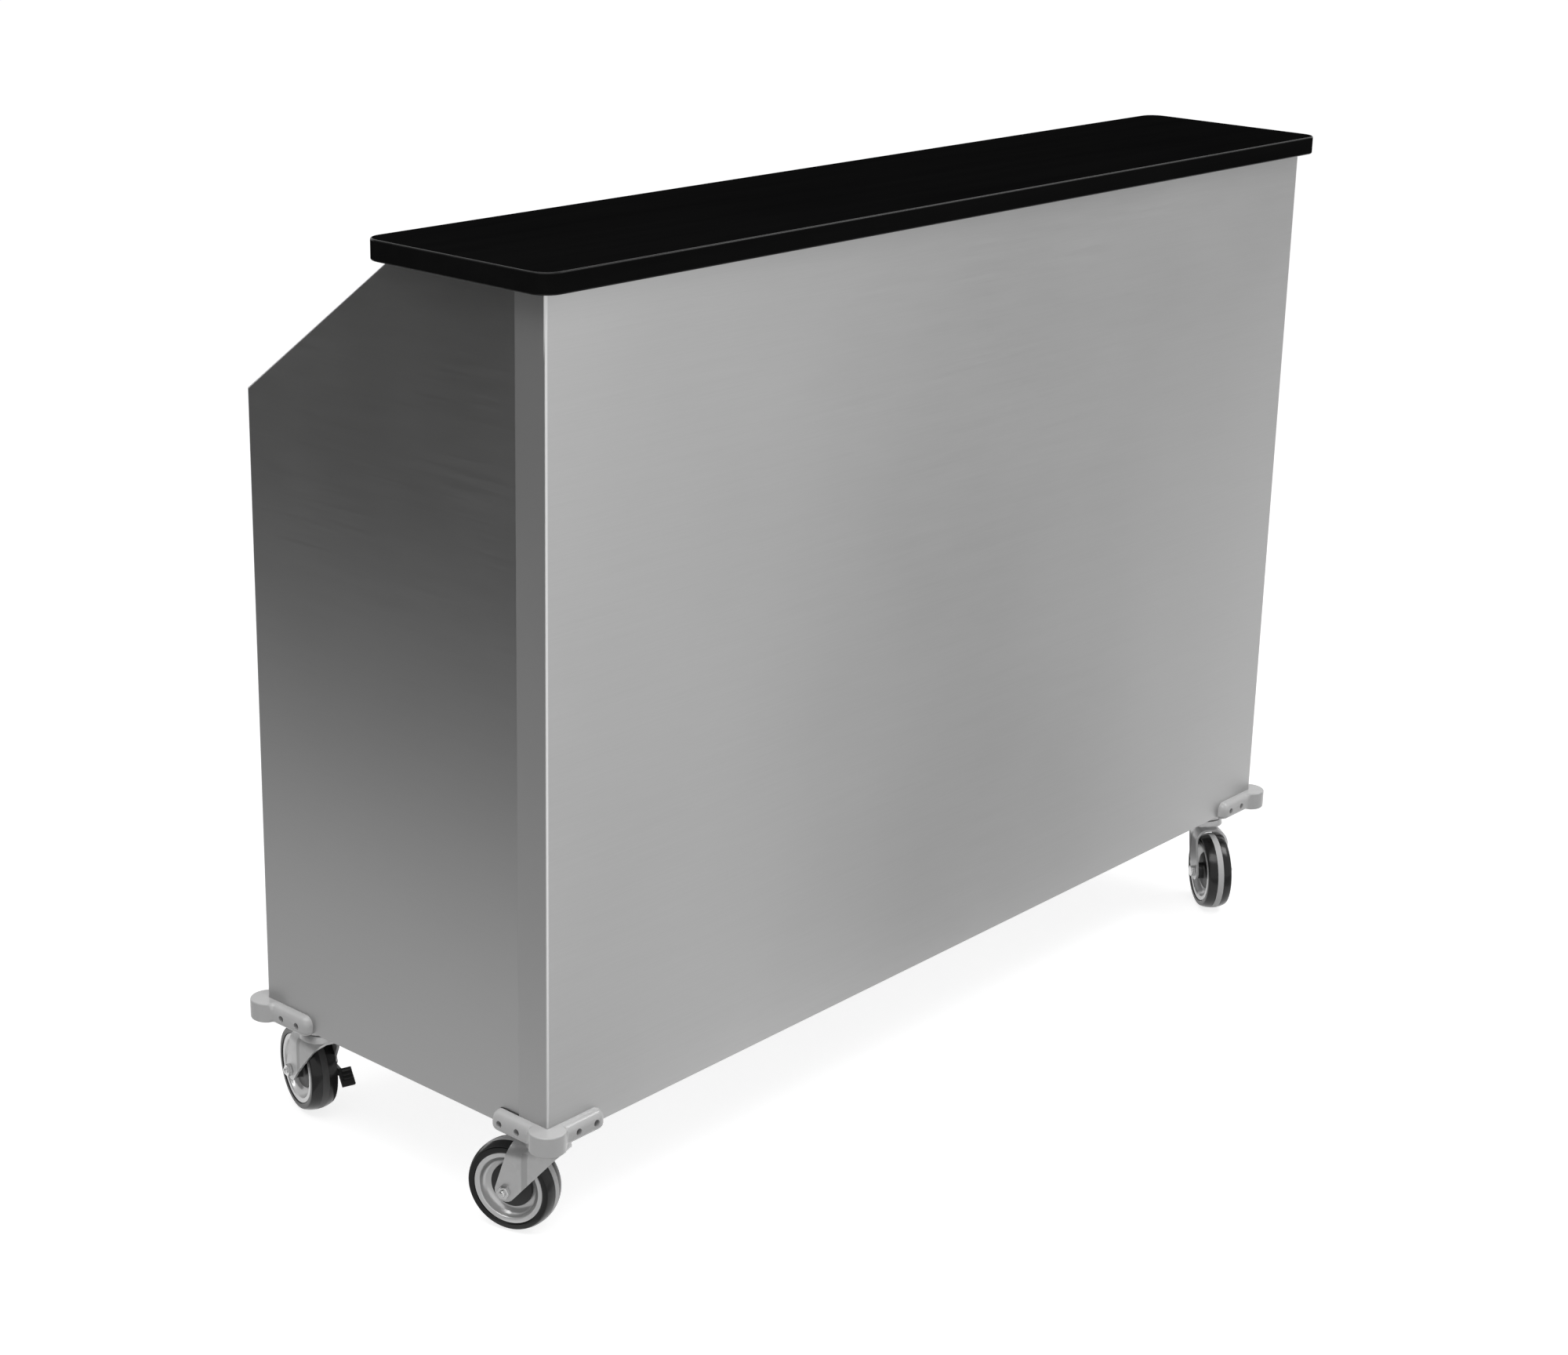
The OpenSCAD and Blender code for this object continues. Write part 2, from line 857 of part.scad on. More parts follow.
// Ball turned across the flow, on its stem
module drain_ball() {
    color("silver") difference() {
        union() {
            translate([0, bin_mid_y, valve_z]) sphere(ball_r);
            y_pin(stem_r, bin_mid_y, stem_end_y);
        }
        x_pin(valve_bore_r, -ball_r - over, ball_r + over, bin_mid_y, valve_z);
    }
}

module drain_lever() {
    color("firebrick") difference() {
        union() {
            y_pin(lever_eye_r, lever_y, lever_y + lever_t);
            block([0, lever_y, valve_z - lever_w / 2], [lever_l, lever_y + lever_t, valve_z + lever_w / 2]);
            translate([lever_l, 0, 0]) y_pin(lever_w / 2, lever_y, lever_y + lever_t);
        }
        y_pin(stem_r + fit_gap / 2, lever_y - over, lever_y + lever_t + over);
    }
}

// Bumpers

module bumper_profile() {
    square([bumper_t - bumper_top_r, bumper_h]);
    translate([0, bumper_foot_r]) square([bumper_t, bumper_h - bumper_foot_r - bumper_top_r]);
    square([bumper_t - bumper_foot_r, bumper_h / 2]);
    translate([bumper_t - bumper_top_r, bumper_h - bumper_top_r]) circle(bumper_top_r);
    translate([bumper_t - bumper_foot_r, bumper_foot_r]) circle(bumper_foot_r);
}

// Only the part of the profile outside the panel
module bumper_section() {
    intersection() {
        bumper_profile();
        square([bumper_t + over, bumper_h]);
    }
}

module nose_section() {
    square([bumper_nose_r - nose_edge_r, bumper_h]);
    translate([0, nose_edge_r]) square([bumper_nose_r, bumper_h - 2 * nose_edge_r]);
    for (z = [nose_edge_r, bumper_h - nose_edge_r])
        translate([bumper_nose_r - nose_edge_r, z]) circle(nose_edge_r);
}

// Arm along +X with its face on y = 0
module bumper_arm_solid() {
    straight = bumper_arm - bumper_t;
    along_x(0, straight) mirror([1, 0]) bumper_section();
    translate([straight, 0, 0]) rotate([0, 0, -90]) rotate_extrude(angle = 90) bumper_section();
}

module bumper(side_x, side_y) {
    color(GREY_PLASTIC) difference() {
        at_corner(side_x, side_y)
            translate([0, 0, bumper_z]) {
                bumper_arm_solid();
                mirror([1, -1, 0]) bumper_arm_solid();
                rotate([0, 0, 90]) rotate_extrude(angle = 270) nose_section();
            }
        at_bumper_screws(side_x, side_y) {
            translate([0, 0, -over]) cylinder(r = screw_hole_r, h = bumper_t + 2 * over);
            translate([0, 0, bumper_seat]) cylinder(r = bumper_hole_r, h = bumper_t);
        }
    }
}

module front_left_bumper() {
    bumper(-1, -1);
}

module front_right_bumper() {
    bumper(1, -1);
}

module rear_left_bumper() {
    bumper(-1, 1);
}

module rear_right_bumper() {
    bumper(1, 1);
}

module bumper_screws() {
    color(ZINC) all_bumper_screws() {
        translate([0, 0, bumper_seat]) cylinder(r = screw_head_r, h = screw_head_t);
        translate([0, 0, -screw_reach]) cylinder(r = screw_r, h = screw_reach + bumper_seat + eps);
    }
}

// Casters

module caster_top_plate() {
    translate([0, 0, caster_h - plate_t]) linear_extrude(plate_t)
        plan(2 * plate_half, 2 * plate_half, plate_corner_r);
    translate([0, 0, crown_top_z + swivel_gap])
        cylinder(r = race_r, h = caster_h - plate_t - crown_top_z - swivel_gap + eps);
    translate([0, 0, crown_z - king_gap - eps]) cylinder(r = king_r, h = caster_h - plate_t - crown_z);
    translate([0, 0, crown_z - king_gap - king_head_t]) cylinder(r = king_head_r, h = king_head_t);
}

module caster_top_plates() {
    color(ZINC) difference() {
        for (x = [-1, 1])
            for (y = [-1, 1])
                at_swivel(x, y) caster_top_plate();
        all_plate_bolts()
            translate([0, 0, caster_h - plate_t - over])
                cylinder(r = bolt_hole_r, h = plate_t + 2 * over);
    }
}

module caster_plate_bolts() {
    color("darkgray") all_plate_bolts() {
        translate([0, 0, floor_z - plate_t - bolt_head_t])
            cylinder(r = bolt_head_r, h = bolt_head_t, $fn = 6);
        translate([0, 0, floor_z - plate_t - eps])
            cylinder(r = bolt_r, h = plate_t + channel_t + nut_t + bolt_tip);
        translate([0, 0, floor_z + channel_t]) cylinder(r = bolt_head_r, h = nut_t, $fn = 6);
    }
}

// Leg of a fork in the plane of the wheel: wide at the crown, narrow at the axle
module fork_leg_outline() {
    axle = [caster_trail, wheel_r];
    lead = [-fork_lead, crown_z - leg_lead_drop];
    trail = [fork_trail, crown_z + leg_trail_rise];
    polygon([
        [-fork_lead, crown_top_z], lead, touch(lead, axle, axle_boss_r, -1), axle,
        touch(trail, axle, axle_boss_r, 1), trail, [fork_trail, crown_top_z]
    ]);
    translate(axle) circle(axle_boss_r);
}

// Outline of a sheet bent over the wheel, with round shoulders
module arch_outline(half, top, r) {
    translate([-half, 0]) square([2 * half, top - r]);
    translate([-(half - r), 0]) square([2 * (half - r), top]);
    for (side = [-1, 1])
        translate([side * (half - r), top - r]) circle(r);
}

module fork(side_x, side_y, turn) {
    color(ZINC) at_swivel(side_x, side_y, turn) difference() {
        intersection() {
            along_y(-fork_lead - over, caster_trail + axle_boss_r + over) difference() {
                arch_outline(leg_out, crown_top_z, fork_bend_r);
                translate([0, -over]) arch_outline(leg_in, crown_z + over, fork_bend_r - fork_t);
            }
            along_x(-leg_out - over, leg_out + over) fork_leg_outline();
        }
        translate([0, 0, crown_z - over]) cylinder(r = king_r + run_gap, h = crown_t + 2 * over);
        x_pin(axle_r + fit_gap / 2, -leg_out - over, leg_out + over, caster_trail, wheel_r);
    }
}

module x_hex(r, x0, x1, y, z) {
    translate([x0, y, z]) rotate([0, 90, 0]) cylinder(r = r, h = x1 - x0, $fn = 6);
}

// Axle bolt with its nut; on a braked caster its head holds the pedal
module axle(side_x, side_y, turn, braked) {
    head_x = braked ? pedal_head_x : leg_out;
    color("silver") at_swivel(side_x, side_y, turn) {
        x_pin(axle_r, -leg_out - axle_head_t - axle_tip, head_x + eps, caster_trail, wheel_r);
        x_hex(axle_head_r, head_x, head_x + axle_head_t, caster_trail, wheel_r);
        x_hex(axle_head_r, -leg_out - axle_head_t, -leg_out, caster_trail, wheel_r);
    }
}

// Turned piece of the wheel: the outline is radius along X and width along Y
module wheel_piece(side_x, side_y, turn) {
    at_swivel(side_x, side_y, turn)
        translate([0, caster_trail, wheel_r])
            rotate([0, 90, 0])
                rotate_extrude($fn = 128)
                    children();
}

module hub(side_x, side_y, turn) {
    color(BLACK) wheel_piece(side_x, side_y, turn) {
        bore = axle_r + run_gap;
        translate([bore, -hub_half_w]) square([hub_boss_r - bore, 2 * hub_half_w]);
        translate([bore, -hub_face]) square([hub_r - bore, 2 * hub_face]);
    }
}

module rim(side_x, side_y, turn) {
    inner = hub_r + fit_gap;
    outer = rim_r - fit_gap;
    dish_r = (inner + lip_r) / 2;
    color(GREY_PLASTIC) wheel_piece(side_x, side_y, turn)
        polygon([
            [inner, -web_face], [dish_r, -dish_face], [lip_r, -rim_face + rim_lip_step],
            [lip_r + rim_lip_w, -rim_face], [outer, -rim_face], [outer, rim_face],
            [lip_r + rim_lip_w, rim_face], [lip_r, rim_face - rim_lip_step],
            [dish_r, dish_face], [inner, web_face]
        ]);
}

module tyre(side_x, side_y, turn) {
    color(BLACK) wheel_piece(side_x, side_y, turn)
        intersection() {
            translate([rim_r, -tread_w / 2]) square([wheel_r - rim_r, tread_w]);
            translate([wheel_r - crown_arc_r, 0]) circle(crown_arc_r, $fn = 128);
        }
}

// Brake pedal: an eye on the axle bolt, an arm along the leg and a tread bent outwards
module pedal(side_x, side_y, turn) {
    axle = [caster_trail, wheel_r];
    color(BLACK) at_swivel(side_x, side_y, turn) difference() {
        union() {
            x_pin(pedal_eye_r, pedal_x, pedal_x + pedal_plate_t, caster_trail, wheel_r);
            along_x(pedal_x, pedal_x + pedal_plate_t)
                strip(axle + [0, pedal_arm_w / 2], pedal_root, pedal_arm_w);
            along_x(pedal_x, pedal_x + pedal_w) strip(pedal_root, pedal_tip, pedal_tread_t);
        }
        x_pin(
            axle_r + run_gap, pedal_x - over, pedal_x + pedal_plate_t + over,
            caster_trail, wheel_r
        );
    }
}

module front_left_fork() {
    fork(-1, -1, swivel_front_left);
}

module front_left_axle() {
    axle(-1, -1, swivel_front_left, false);
}

module front_left_hub() {
    hub(-1, -1, swivel_front_left);
}

module front_left_rim() {
    rim(-1, -1, swivel_front_left);
}

module front_left_tyre() {
    tyre(-1, -1, swivel_front_left);
}

module front_right_fork() {
    fork(1, -1, swivel_front_right);
}

module front_right_axle() {
    axle(1, -1, swivel_front_right, false);
}

module front_right_hub() {
    hub(1, -1, swivel_front_right);
}

module front_right_rim() {
    rim(1, -1, swivel_front_right);
}

module front_right_tyre() {
    tyre(1, -1, swivel_front_right);
}

module rear_left_fork() {
    fork(-1, 1, swivel_rear_left);
}

module rear_left_axle() {
    axle(-1, 1, swivel_rear_left, true);
}

module rear_left_hub() {
    hub(-1, 1, swivel_rear_left);
}

module rear_left_rim() {
    rim(-1, 1, swivel_rear_left);
}

module rear_left_tyre() {
    tyre(-1, 1, swivel_rear_left);
}

module rear_right_fork() {
    fork(1, 1, swivel_rear_right);
}

module rear_right_axle() {
    axle(1, 1, swivel_rear_right, true);
}

module rear_right_hub() {
    hub(1, 1, swivel_rear_right);
}

module rear_right_rim() {
    rim(1, 1, swivel_rear_right);
}

module rear_right_tyre() {
    tyre(1, 1, swivel_rear_right);
}

module rear_left_pedal() {
    pedal(-1, 1, swivel_rear_left);
}

module rear_right_pedal() {
    pedal(1, 1, swivel_rear_right);
}

front_panel();
left_end_panel();
right_end_panel();
counter_top();
counter_front_rail();
counter_rear_rail();
counter_screws();
left_base_channel();
right_base_channel();
front_base_rail();
rear_base_rail();
base_shelf();
left_divider();
right_divider();
left_shelf();
right_shelf();
work_deck();
ice_bin_liner();
ice_bin_insulation();
ice_bin_jacket();
ice_bin_lid();
lid_handle();
lid_hinge_leaf();
lid_hinge_pin();
drain_tailpiece();
drain_valve();
drain_ball();
drain_lever();
left_bottle_well();
right_bottle_well();
speed_rail();
caster_top_plates();
caster_plate_bolts();
front_left_bumper();
front_right_bumper();
rear_left_bumper();
rear_right_bumper();
bumper_screws();
front_left_fork();
front_left_axle();
front_left_hub();
front_left_rim();
front_left_tyre();
front_right_fork();
front_right_axle();
front_right_hub();
front_right_rim();
front_right_tyre();
rear_left_fork();
rear_left_axle();
rear_left_hub();
rear_left_rim();
rear_left_tyre();
rear_right_fork();
rear_right_axle();
rear_right_hub();
rear_right_rim();
rear_right_tyre();
rear_left_pedal();
rear_right_pedal();
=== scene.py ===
import json
import math

import bmesh
import bpy
from mathutils import Matrix, Vector


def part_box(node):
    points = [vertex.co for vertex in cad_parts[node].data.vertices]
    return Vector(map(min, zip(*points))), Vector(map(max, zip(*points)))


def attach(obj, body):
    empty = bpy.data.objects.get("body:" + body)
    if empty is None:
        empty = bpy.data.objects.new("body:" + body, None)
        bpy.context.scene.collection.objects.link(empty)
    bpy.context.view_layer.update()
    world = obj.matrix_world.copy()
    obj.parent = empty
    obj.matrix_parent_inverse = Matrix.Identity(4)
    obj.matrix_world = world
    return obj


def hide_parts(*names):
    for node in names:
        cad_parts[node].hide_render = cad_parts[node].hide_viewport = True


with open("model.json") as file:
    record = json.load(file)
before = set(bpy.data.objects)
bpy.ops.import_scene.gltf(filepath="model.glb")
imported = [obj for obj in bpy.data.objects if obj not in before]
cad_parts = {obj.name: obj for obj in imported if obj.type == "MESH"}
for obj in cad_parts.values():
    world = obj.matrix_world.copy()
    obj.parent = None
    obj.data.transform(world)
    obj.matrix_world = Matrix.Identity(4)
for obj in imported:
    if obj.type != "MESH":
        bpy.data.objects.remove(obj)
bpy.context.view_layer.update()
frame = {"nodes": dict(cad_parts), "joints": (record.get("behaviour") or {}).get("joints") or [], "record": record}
nodes = frame["nodes"]
record = frame["record"]
bodyOf = {node: body for body, members in record["behaviour"]["bodies"].items() for node in members}
jointOf = {joint["name"]: joint for joint in frame["joints"]}
cornerNames = ("front_left", "front_right", "rear_left", "rear_right")
mm = 0.001
scene = bpy.context.scene
scene.view_settings.view_transform = "Standard"
print("frame loaded:", len(nodes), "nodes")

# camera at the photograph's angle
viewSet = {"azimuth": -49.341, "elevation": 17.502, "roll": 1.391, "lens": 64.625, "sensor": 36,
           "shiftY": -0.05, "place": (-2.4853, -2.0866, 1.5476)}


def makeCamera(s):
    az, el, roll = (math.radians(s[key]) for key in ("azimuth", "elevation", "roll"))
    back = Vector((math.sin(az) * math.cos(el), -math.cos(az) * math.cos(el), math.sin(el)))
    level = Vector((math.cos(az), math.sin(az), 0))
    upright = back.cross(level)
    right = math.cos(roll) * level + math.sin(roll) * upright
    up = back.cross(right)
    data = bpy.data.cameras.new("barView")
    data.sensor_fit = "HORIZONTAL"
    data.sensor_width = s["sensor"]
    data.lens = s["lens"]
    data.shift_y = s["shiftY"]
    camera = bpy.data.objects.new("barView", data)
    scene.collection.objects.link(camera)
    camera.matrix_world = Matrix.Translation(s["place"]) @ Matrix((right, up, back)).transposed().to_4x4()
    scene.camera = camera


makeCamera(viewSet)
print("camera placed")


# shader node helpers
def link(tree, source, target):
    tree.links.new(source, target)


def addNode(tree, kind, **settings):
    node = tree.nodes.new(kind)
    for key, value in settings.items():
        setattr(node, key, value)
    return node


def startGroup(name, inputs, outputs):
    group = bpy.data.node_groups.new(name, "ShaderNodeTree")
    for label, kind, value in inputs:
        socket = group.interface.new_socket(name=label, in_out="INPUT", socket_type=kind)
        socket.default_value = value
    for label in outputs:
        group.interface.new_socket(name=label, in_out="OUTPUT", socket_type="NodeSocketFloat")
    return group, group.nodes.new("NodeGroupInput"), group.nodes.new("NodeGroupOutput")


def noiseOn(tree, vector, scale, detail, roughness):
    noise = addNode(tree, "ShaderNodeTexNoise")
    noise.inputs["Scale"].default_value = scale
    noise.inputs["Detail"].default_value = detail
    noise.inputs["Roughness"].default_value = roughness
    link(tree, vector, noise.inputs["Vector"])
    return noise


# lines drawn along one direction, and soft clouds over them: scale, detail and roughness of each noise
brushSet = {"Lines": (1.0, 4, 0.65), "Fine": (3.4, 2, 0.5), "Clouds": (1.0, 2, 0.5)}


def brushGroup(s):
    group, ins, outs = startGroup(
        "brushLines",
        [("Stretch", "NodeSocketVector", (12, 800, 800)), ("Cloud Size", "NodeSocketFloat", 3.0)],
        list(s),
    )
    place = addNode(group, "ShaderNodeTexCoord").outputs["Object"]
    drawn = addNode(group, "ShaderNodeVectorMath", operation="MULTIPLY")
    link(group, place, drawn.inputs[0])
    link(group, ins.outputs["Stretch"], drawn.inputs[1])
    for label in ("Lines", "Fine"):
        link(group, noiseOn(group, drawn.outputs[0], *s[label]).outputs["Fac"], outs.inputs[label])
    clouds = noiseOn(group, place, *s["Clouds"])
    link(group, ins.outputs["Cloud Size"], clouds.inputs["Scale"])
    link(group, clouds.outputs["Fac"], outs.inputs["Clouds"])
    return group


# skin of moulded, rolled or plated pieces: fine pits, crystal cells and clouds
skinNoise = (1.0, 3, 0.55)


def skinGroup():
    group, ins, outs = startGroup(
        "surfaceSkin",
        [("Pit Scale", "NodeSocketFloat", 900.0), ("Cell Scale", "NodeSocketFloat", 220.0),
         ("Cloud Size", "NodeSocketFloat", 14.0)],
        ["Pits", "Cells", "Clouds"],
    )
    place = addNode(group, "ShaderNodeTexCoord").outputs["Object"]
    for label, wanted in (("Pits", "Pit Scale"), ("Clouds", "Cloud Size")):
        noise = noiseOn(group, place, *skinNoise)
        link(group, ins.outputs[wanted], noise.inputs["Scale"])
        link(group, noise.outputs["Fac"], outs.inputs[label])
    cells = addNode(group, "ShaderNodeTexVoronoi")
    link(group, place, cells.inputs["Vector"])
    link(group, ins.outputs["Cell Scale"], cells.inputs["Scale"])
    tone = addNode(group, "ShaderNodeRGBToBW")
    link(group, cells.outputs["Color"], tone.inputs["Color"])
    link(group, tone.outputs["Val"], outs.inputs["Cells"])
    return group


brushLines = brushGroup(brushSet)
surfaceSkin = skinGroup()


def spread(tree, value, low, high, fromLow=0.3, fromHigh=0.7):
    ranged = addNode(tree, "ShaderNodeMapRange")
    ranged.inputs["From Min"].default_value = fromLow
    ranged.inputs["From Max"].default_value = fromHigh
    ranged.inputs["To Min"].default_value = low
    ranged.inputs["To Max"].default_value = high
    link(tree, value, ranged.inputs["Value"])
    return ranged.outputs["Result"]


def swung(tree, value, middle, reach):
    return spread(tree, value, middle - reach, middle + reach)


def plus(tree, a, b):
    total = addNode(tree, "ShaderNodeMath", operation="ADD")
    link(tree, a, total.inputs[0])
    link(tree, b, total.inputs[1])
    return total.outputs[0]


# two figures over each other, the first with the given share of the whole
def figured(tree, first, second, share, *span):
    return plus(tree, spread(tree, first, 0, share, *span), spread(tree, second, 0, 1 - share))


def between(tree, factor, dark, light):
    mixed = addNode(tree, "ShaderNodeMix", data_type="RGBA")
    mixed.inputs["A"].default_value = (*dark, 1)
    mixed.inputs["B"].default_value = (*light, 1)
    link(tree, factor, mixed.inputs["Factor"])
    return mixed.outputs["Result"]


def bumped(tree, bsdf, height, strength, distance):
    bump = addNode(tree, "ShaderNodeBump")
    bump.inputs["Strength"].default_value = strength
    bump.inputs["Distance"].default_value = distance
    link(tree, height, bump.inputs["Height"])
    link(tree, bump.outputs["Normal"], bsdf.inputs["Normal"])


def newFinish(name, **plain):
    finish = bpy.data.materials.new(name)
    finish.use_nodes = True
    tree = finish.node_tree
    bsdf = tree.nodes["Principled BSDF"]
    for key, value in plain.items():
        bsdf.inputs[key].default_value = value
    return finish, tree, bsdf


def greys(s):
    tint = s.get("tint", (1, 1, 1))
    low = tuple(s["tone"] * (1 - s["swing"]) * t for t in tint)
    high = tuple(s["tone"] * (1 + s["swing"]) * t for t in tint)
    return low, high


# painted highlight line where the front panel folds round its two corners, and a mask of its return faces, in
# metres from the folds
foldSet = {"halfWidth": 0.67, "front": 0.225, "bend": 0.0026, "highlightFade": (0.25, 1.0),
           "returnFade": (0.0003, 0.0008)}


def foldGroup(s):
    group, ins, outs = startGroup(
        "foldHighlightPaint",
        [("Half Width", "NodeSocketFloat", s["halfWidth"]), ("Front", "NodeSocketFloat", s["front"]),
         ("Bend", "NodeSocketFloat", s["bend"])],
        ["Shine", "Return"],
    )
    place = addNode(group, "ShaderNodeTexCoord").outputs["Object"]
    parts = addNode(group, "ShaderNodeSeparateXYZ")
    link(group, place, parts.inputs[0])
    shares = []
    gaps = []
    for axis, wanted in (("X", "Half Width"), ("Y", "Front")):
        away = addNode(group, "ShaderNodeMath", operation="ABSOLUTE")
        link(group, parts.outputs[axis], away.inputs[0])
        gap = addNode(group, "ShaderNodeMath", operation="SUBTRACT")
        link(group, ins.outputs[wanted], gap.inputs[0])
        link(group, away.outputs[0], gap.inputs[1])
        gaps.append(gap.outputs[0])
        share = addNode(group, "ShaderNodeMath", operation="DIVIDE")
        link(group, gap.outputs[0], share.inputs[0])
        link(group, ins.outputs["Bend"], share.inputs[1])
        shares.append(spread(group, share.outputs[0], 1, 0, *s["highlightFade"]))
    both = addNode(group, "ShaderNodeMath", operation="MULTIPLY")
    link(group, shares[0], both.inputs[0])
    link(group, shares[1], both.inputs[1])
    link(group, both.outputs[0], outs.inputs["Shine"])
    link(group, spread(group, gaps[0], 1, 0, *s["returnFade"]), outs.inputs["Return"])
    return group


foldHighlightPaint = foldGroup(foldSet)

# what each family of finish shares: share of its first figure, swings of roughness, bump depth in metres
reliefSet = {
    "brush": {"share": 0.5, "lines": 0.03, "clouds": 0.025, "depth": 0.0002},
    "laminate": {"share": 0.6, "lines": 0.06, "bump": 0.1, "depth": 0.0002},
    "skin": {"share": 0.6, "span": (0.2, 0.8), "clouds": 0.04, "pits": 0.03, "depth": 0.0003},
}


# brushed sheet: the drawn lines spread a reflection across them
def brushedSteel(name, s):
    relief = reliefSet["brush"]
    plain = {"Metallic": s["metal"], "Anisotropic": s["spread"], "Anisotropic Rotation": s["turn"]}
    finish, tree, bsdf = newFinish(name, **plain)
    grain = addNode(tree, "ShaderNodeGroup", node_tree=brushLines)
    grain.inputs["Stretch"].default_value = s["stretch"]
    grain.inputs["Cloud Size"].default_value = s["clouds"]
    lines, clouds = grain.outputs["Lines"], grain.outputs["Clouds"]
    colour = between(tree, figured(tree, lines, clouds, relief["share"]), *greys(s))
    rough = plus(tree, swung(tree, lines, s["rough"], relief["lines"]),
                 swung(tree, clouds, 0, relief["clouds"]))
    # the front panel's corner folds get a painted highlight tone, its fold value, and its return faces a lighter
    # painted reflection tone
    if "fold" in s:
        fold = addNode(tree, "ShaderNodeGroup", node_tree=foldHighlightPaint)
        for wanted, tone in (("Return", s["returnPaintedReflection"]), ("Shine", s["fold"])):
            withPaintedLight = addNode(tree, "ShaderNodeMix", data_type="RGBA")
            withPaintedLight.inputs["B"].default_value = (tone,) * 3 + (1,)
            link(tree, fold.outputs[wanted], withPaintedLight.inputs["Factor"])
            link(tree, colour, withPaintedLight.inputs["A"])
            colour = withPaintedLight.outputs["Result"]
        rough = plus(tree, rough, spread(tree, fold.outputs["Return"], 0, s["returnRough"], 0, 1))
    link(tree, colour, bsdf.inputs["Base Color"])
    link(tree, rough, bsdf.inputs["Roughness"])
    bumped(tree, bsdf, grain.outputs["Fine"], s["bump"], relief["depth"])
    return finish


alongX, alongY, allWays = (12, 900, 900), (900, 12, 900), (9, 9, 9)
coolTint = (1, 1, 1.01)
steelSet = {
    # front: fold is the tone of the painted highlight on the corner folds, and the return tone is a lighter
    # painted reflection on the return faces
    "front": {"metal": 1.0, "tone": 0.50, "swing": 0.045, "rough": 0.36, "stretch": alongX, "clouds": 2.2,
              "bump": 0.08, "spread": 0.45, "turn": 0.25, "fold": 0.66, "returnPaintedReflection": 0.56,
              "returnRough": 0.14},
    "ends": {"metal": 1.0, "tone": 0.50, "swing": 0.03, "rough": 0.34, "stretch": alongY, "clouds": 2.6,
             "bump": 0.08, "spread": 0.35, "turn": 0.25},
    "deck": {"metal": 0.86, "tone": 0.58, "swing": 0.03, "rough": 0.36, "stretch": alongX, "clouds": 4.0,
             "bump": 0.03, "spread": 0.3, "turn": 0.0},
    "inner": {"metal": 0.8, "tone": 0.58, "swing": 0.05, "tint": coolTint, "rough": 0.42, "stretch": alongX,
              "clouds": 5.0, "bump": 0.05, "spread": 0.2, "turn": 0.0},
    "dividers": {"metal": 0.8, "tone": 0.58, "swing": 0.05, "tint": coolTint, "rough": 0.42,
                 "stretch": alongY, "clouds": 5.0, "bump": 0.05, "spread": 0.2, "turn": 0.25},
    "pressed": {"metal": 0.7, "tone": 0.6, "swing": 0.03, "rough": 0.46, "stretch": allWays, "clouds": 3.0,
                "bump": 0.02, "spread": 0.0, "turn": 0.0},
}
frontSteel, endSteel, deckSteel, innerSteel, dividerSteel, pressedSteel = (
    brushedSteel(name + "Steel", row) for name, row in steelSet.items())


# black laminate with a faint lengthwise figure
def laminateFinish(name, s):
    relief = reliefSet["laminate"]
    finish, tree, bsdf = newFinish(name, **{"Metallic": 0.0, "Specular IOR Level": s["gloss"]})
    figure = addNode(tree, "ShaderNodeGroup", node_tree=brushLines)
    figure.inputs["Stretch"].default_value = s["figure"]
    figure.inputs["Cloud Size"].default_value = s["clouds"]
    pores = addNode(tree, "ShaderNodeGroup", node_tree=surfaceSkin)
    pores.inputs["Pit Scale"].default_value = s["pores"]
    lines = figure.outputs["Lines"]
    mixed = figured(tree, lines, figure.outputs["Clouds"], relief["share"])
    link(tree, between(tree, mixed, s["dark"], s["light"]), bsdf.inputs["Base Color"])
    link(tree, swung(tree, lines, s["rough"], relief["lines"]), bsdf.inputs["Roughness"])
    bumped(tree, bsdf, pores.outputs["Pits"], relief["bump"], relief["depth"])
    return finish


lengthwise = (2, 38, 38)
laminateSet = {
    "blackLaminate": {"gloss": 0.0, "rough": 0.36, "figure": lengthwise, "clouds": 2.5, "pores": 1400,
                      "dark": (0.003, 0.003, 0.0031), "light": (0.0046, 0.0046, 0.0046)},
    # painted highlight: lighter laminate on the eased edges; painted light: a lighter copy of the laminate on the
    # side faces
    "paintedEdgeHighlight": {"gloss": 0.12, "rough": 0.26, "figure": lengthwise, "clouds": 6.0, "pores": 1400,
                     "dark": (0.008, 0.008, 0.008), "light": (0.014, 0.014, 0.014)},
    "paintedSideLight": {"gloss": 0.0, "rough": 0.36, "figure": lengthwise, "clouds": 6.0, "pores": 1400,
                     "dark": (0.0058, 0.0058, 0.0059), "light": (0.0084, 0.0084, 0.0084)},
}
blackLaminate, paintedEdgeHighlight, paintedSideLight = (laminateFinish(name, row) for name, row in laminateSet.items())


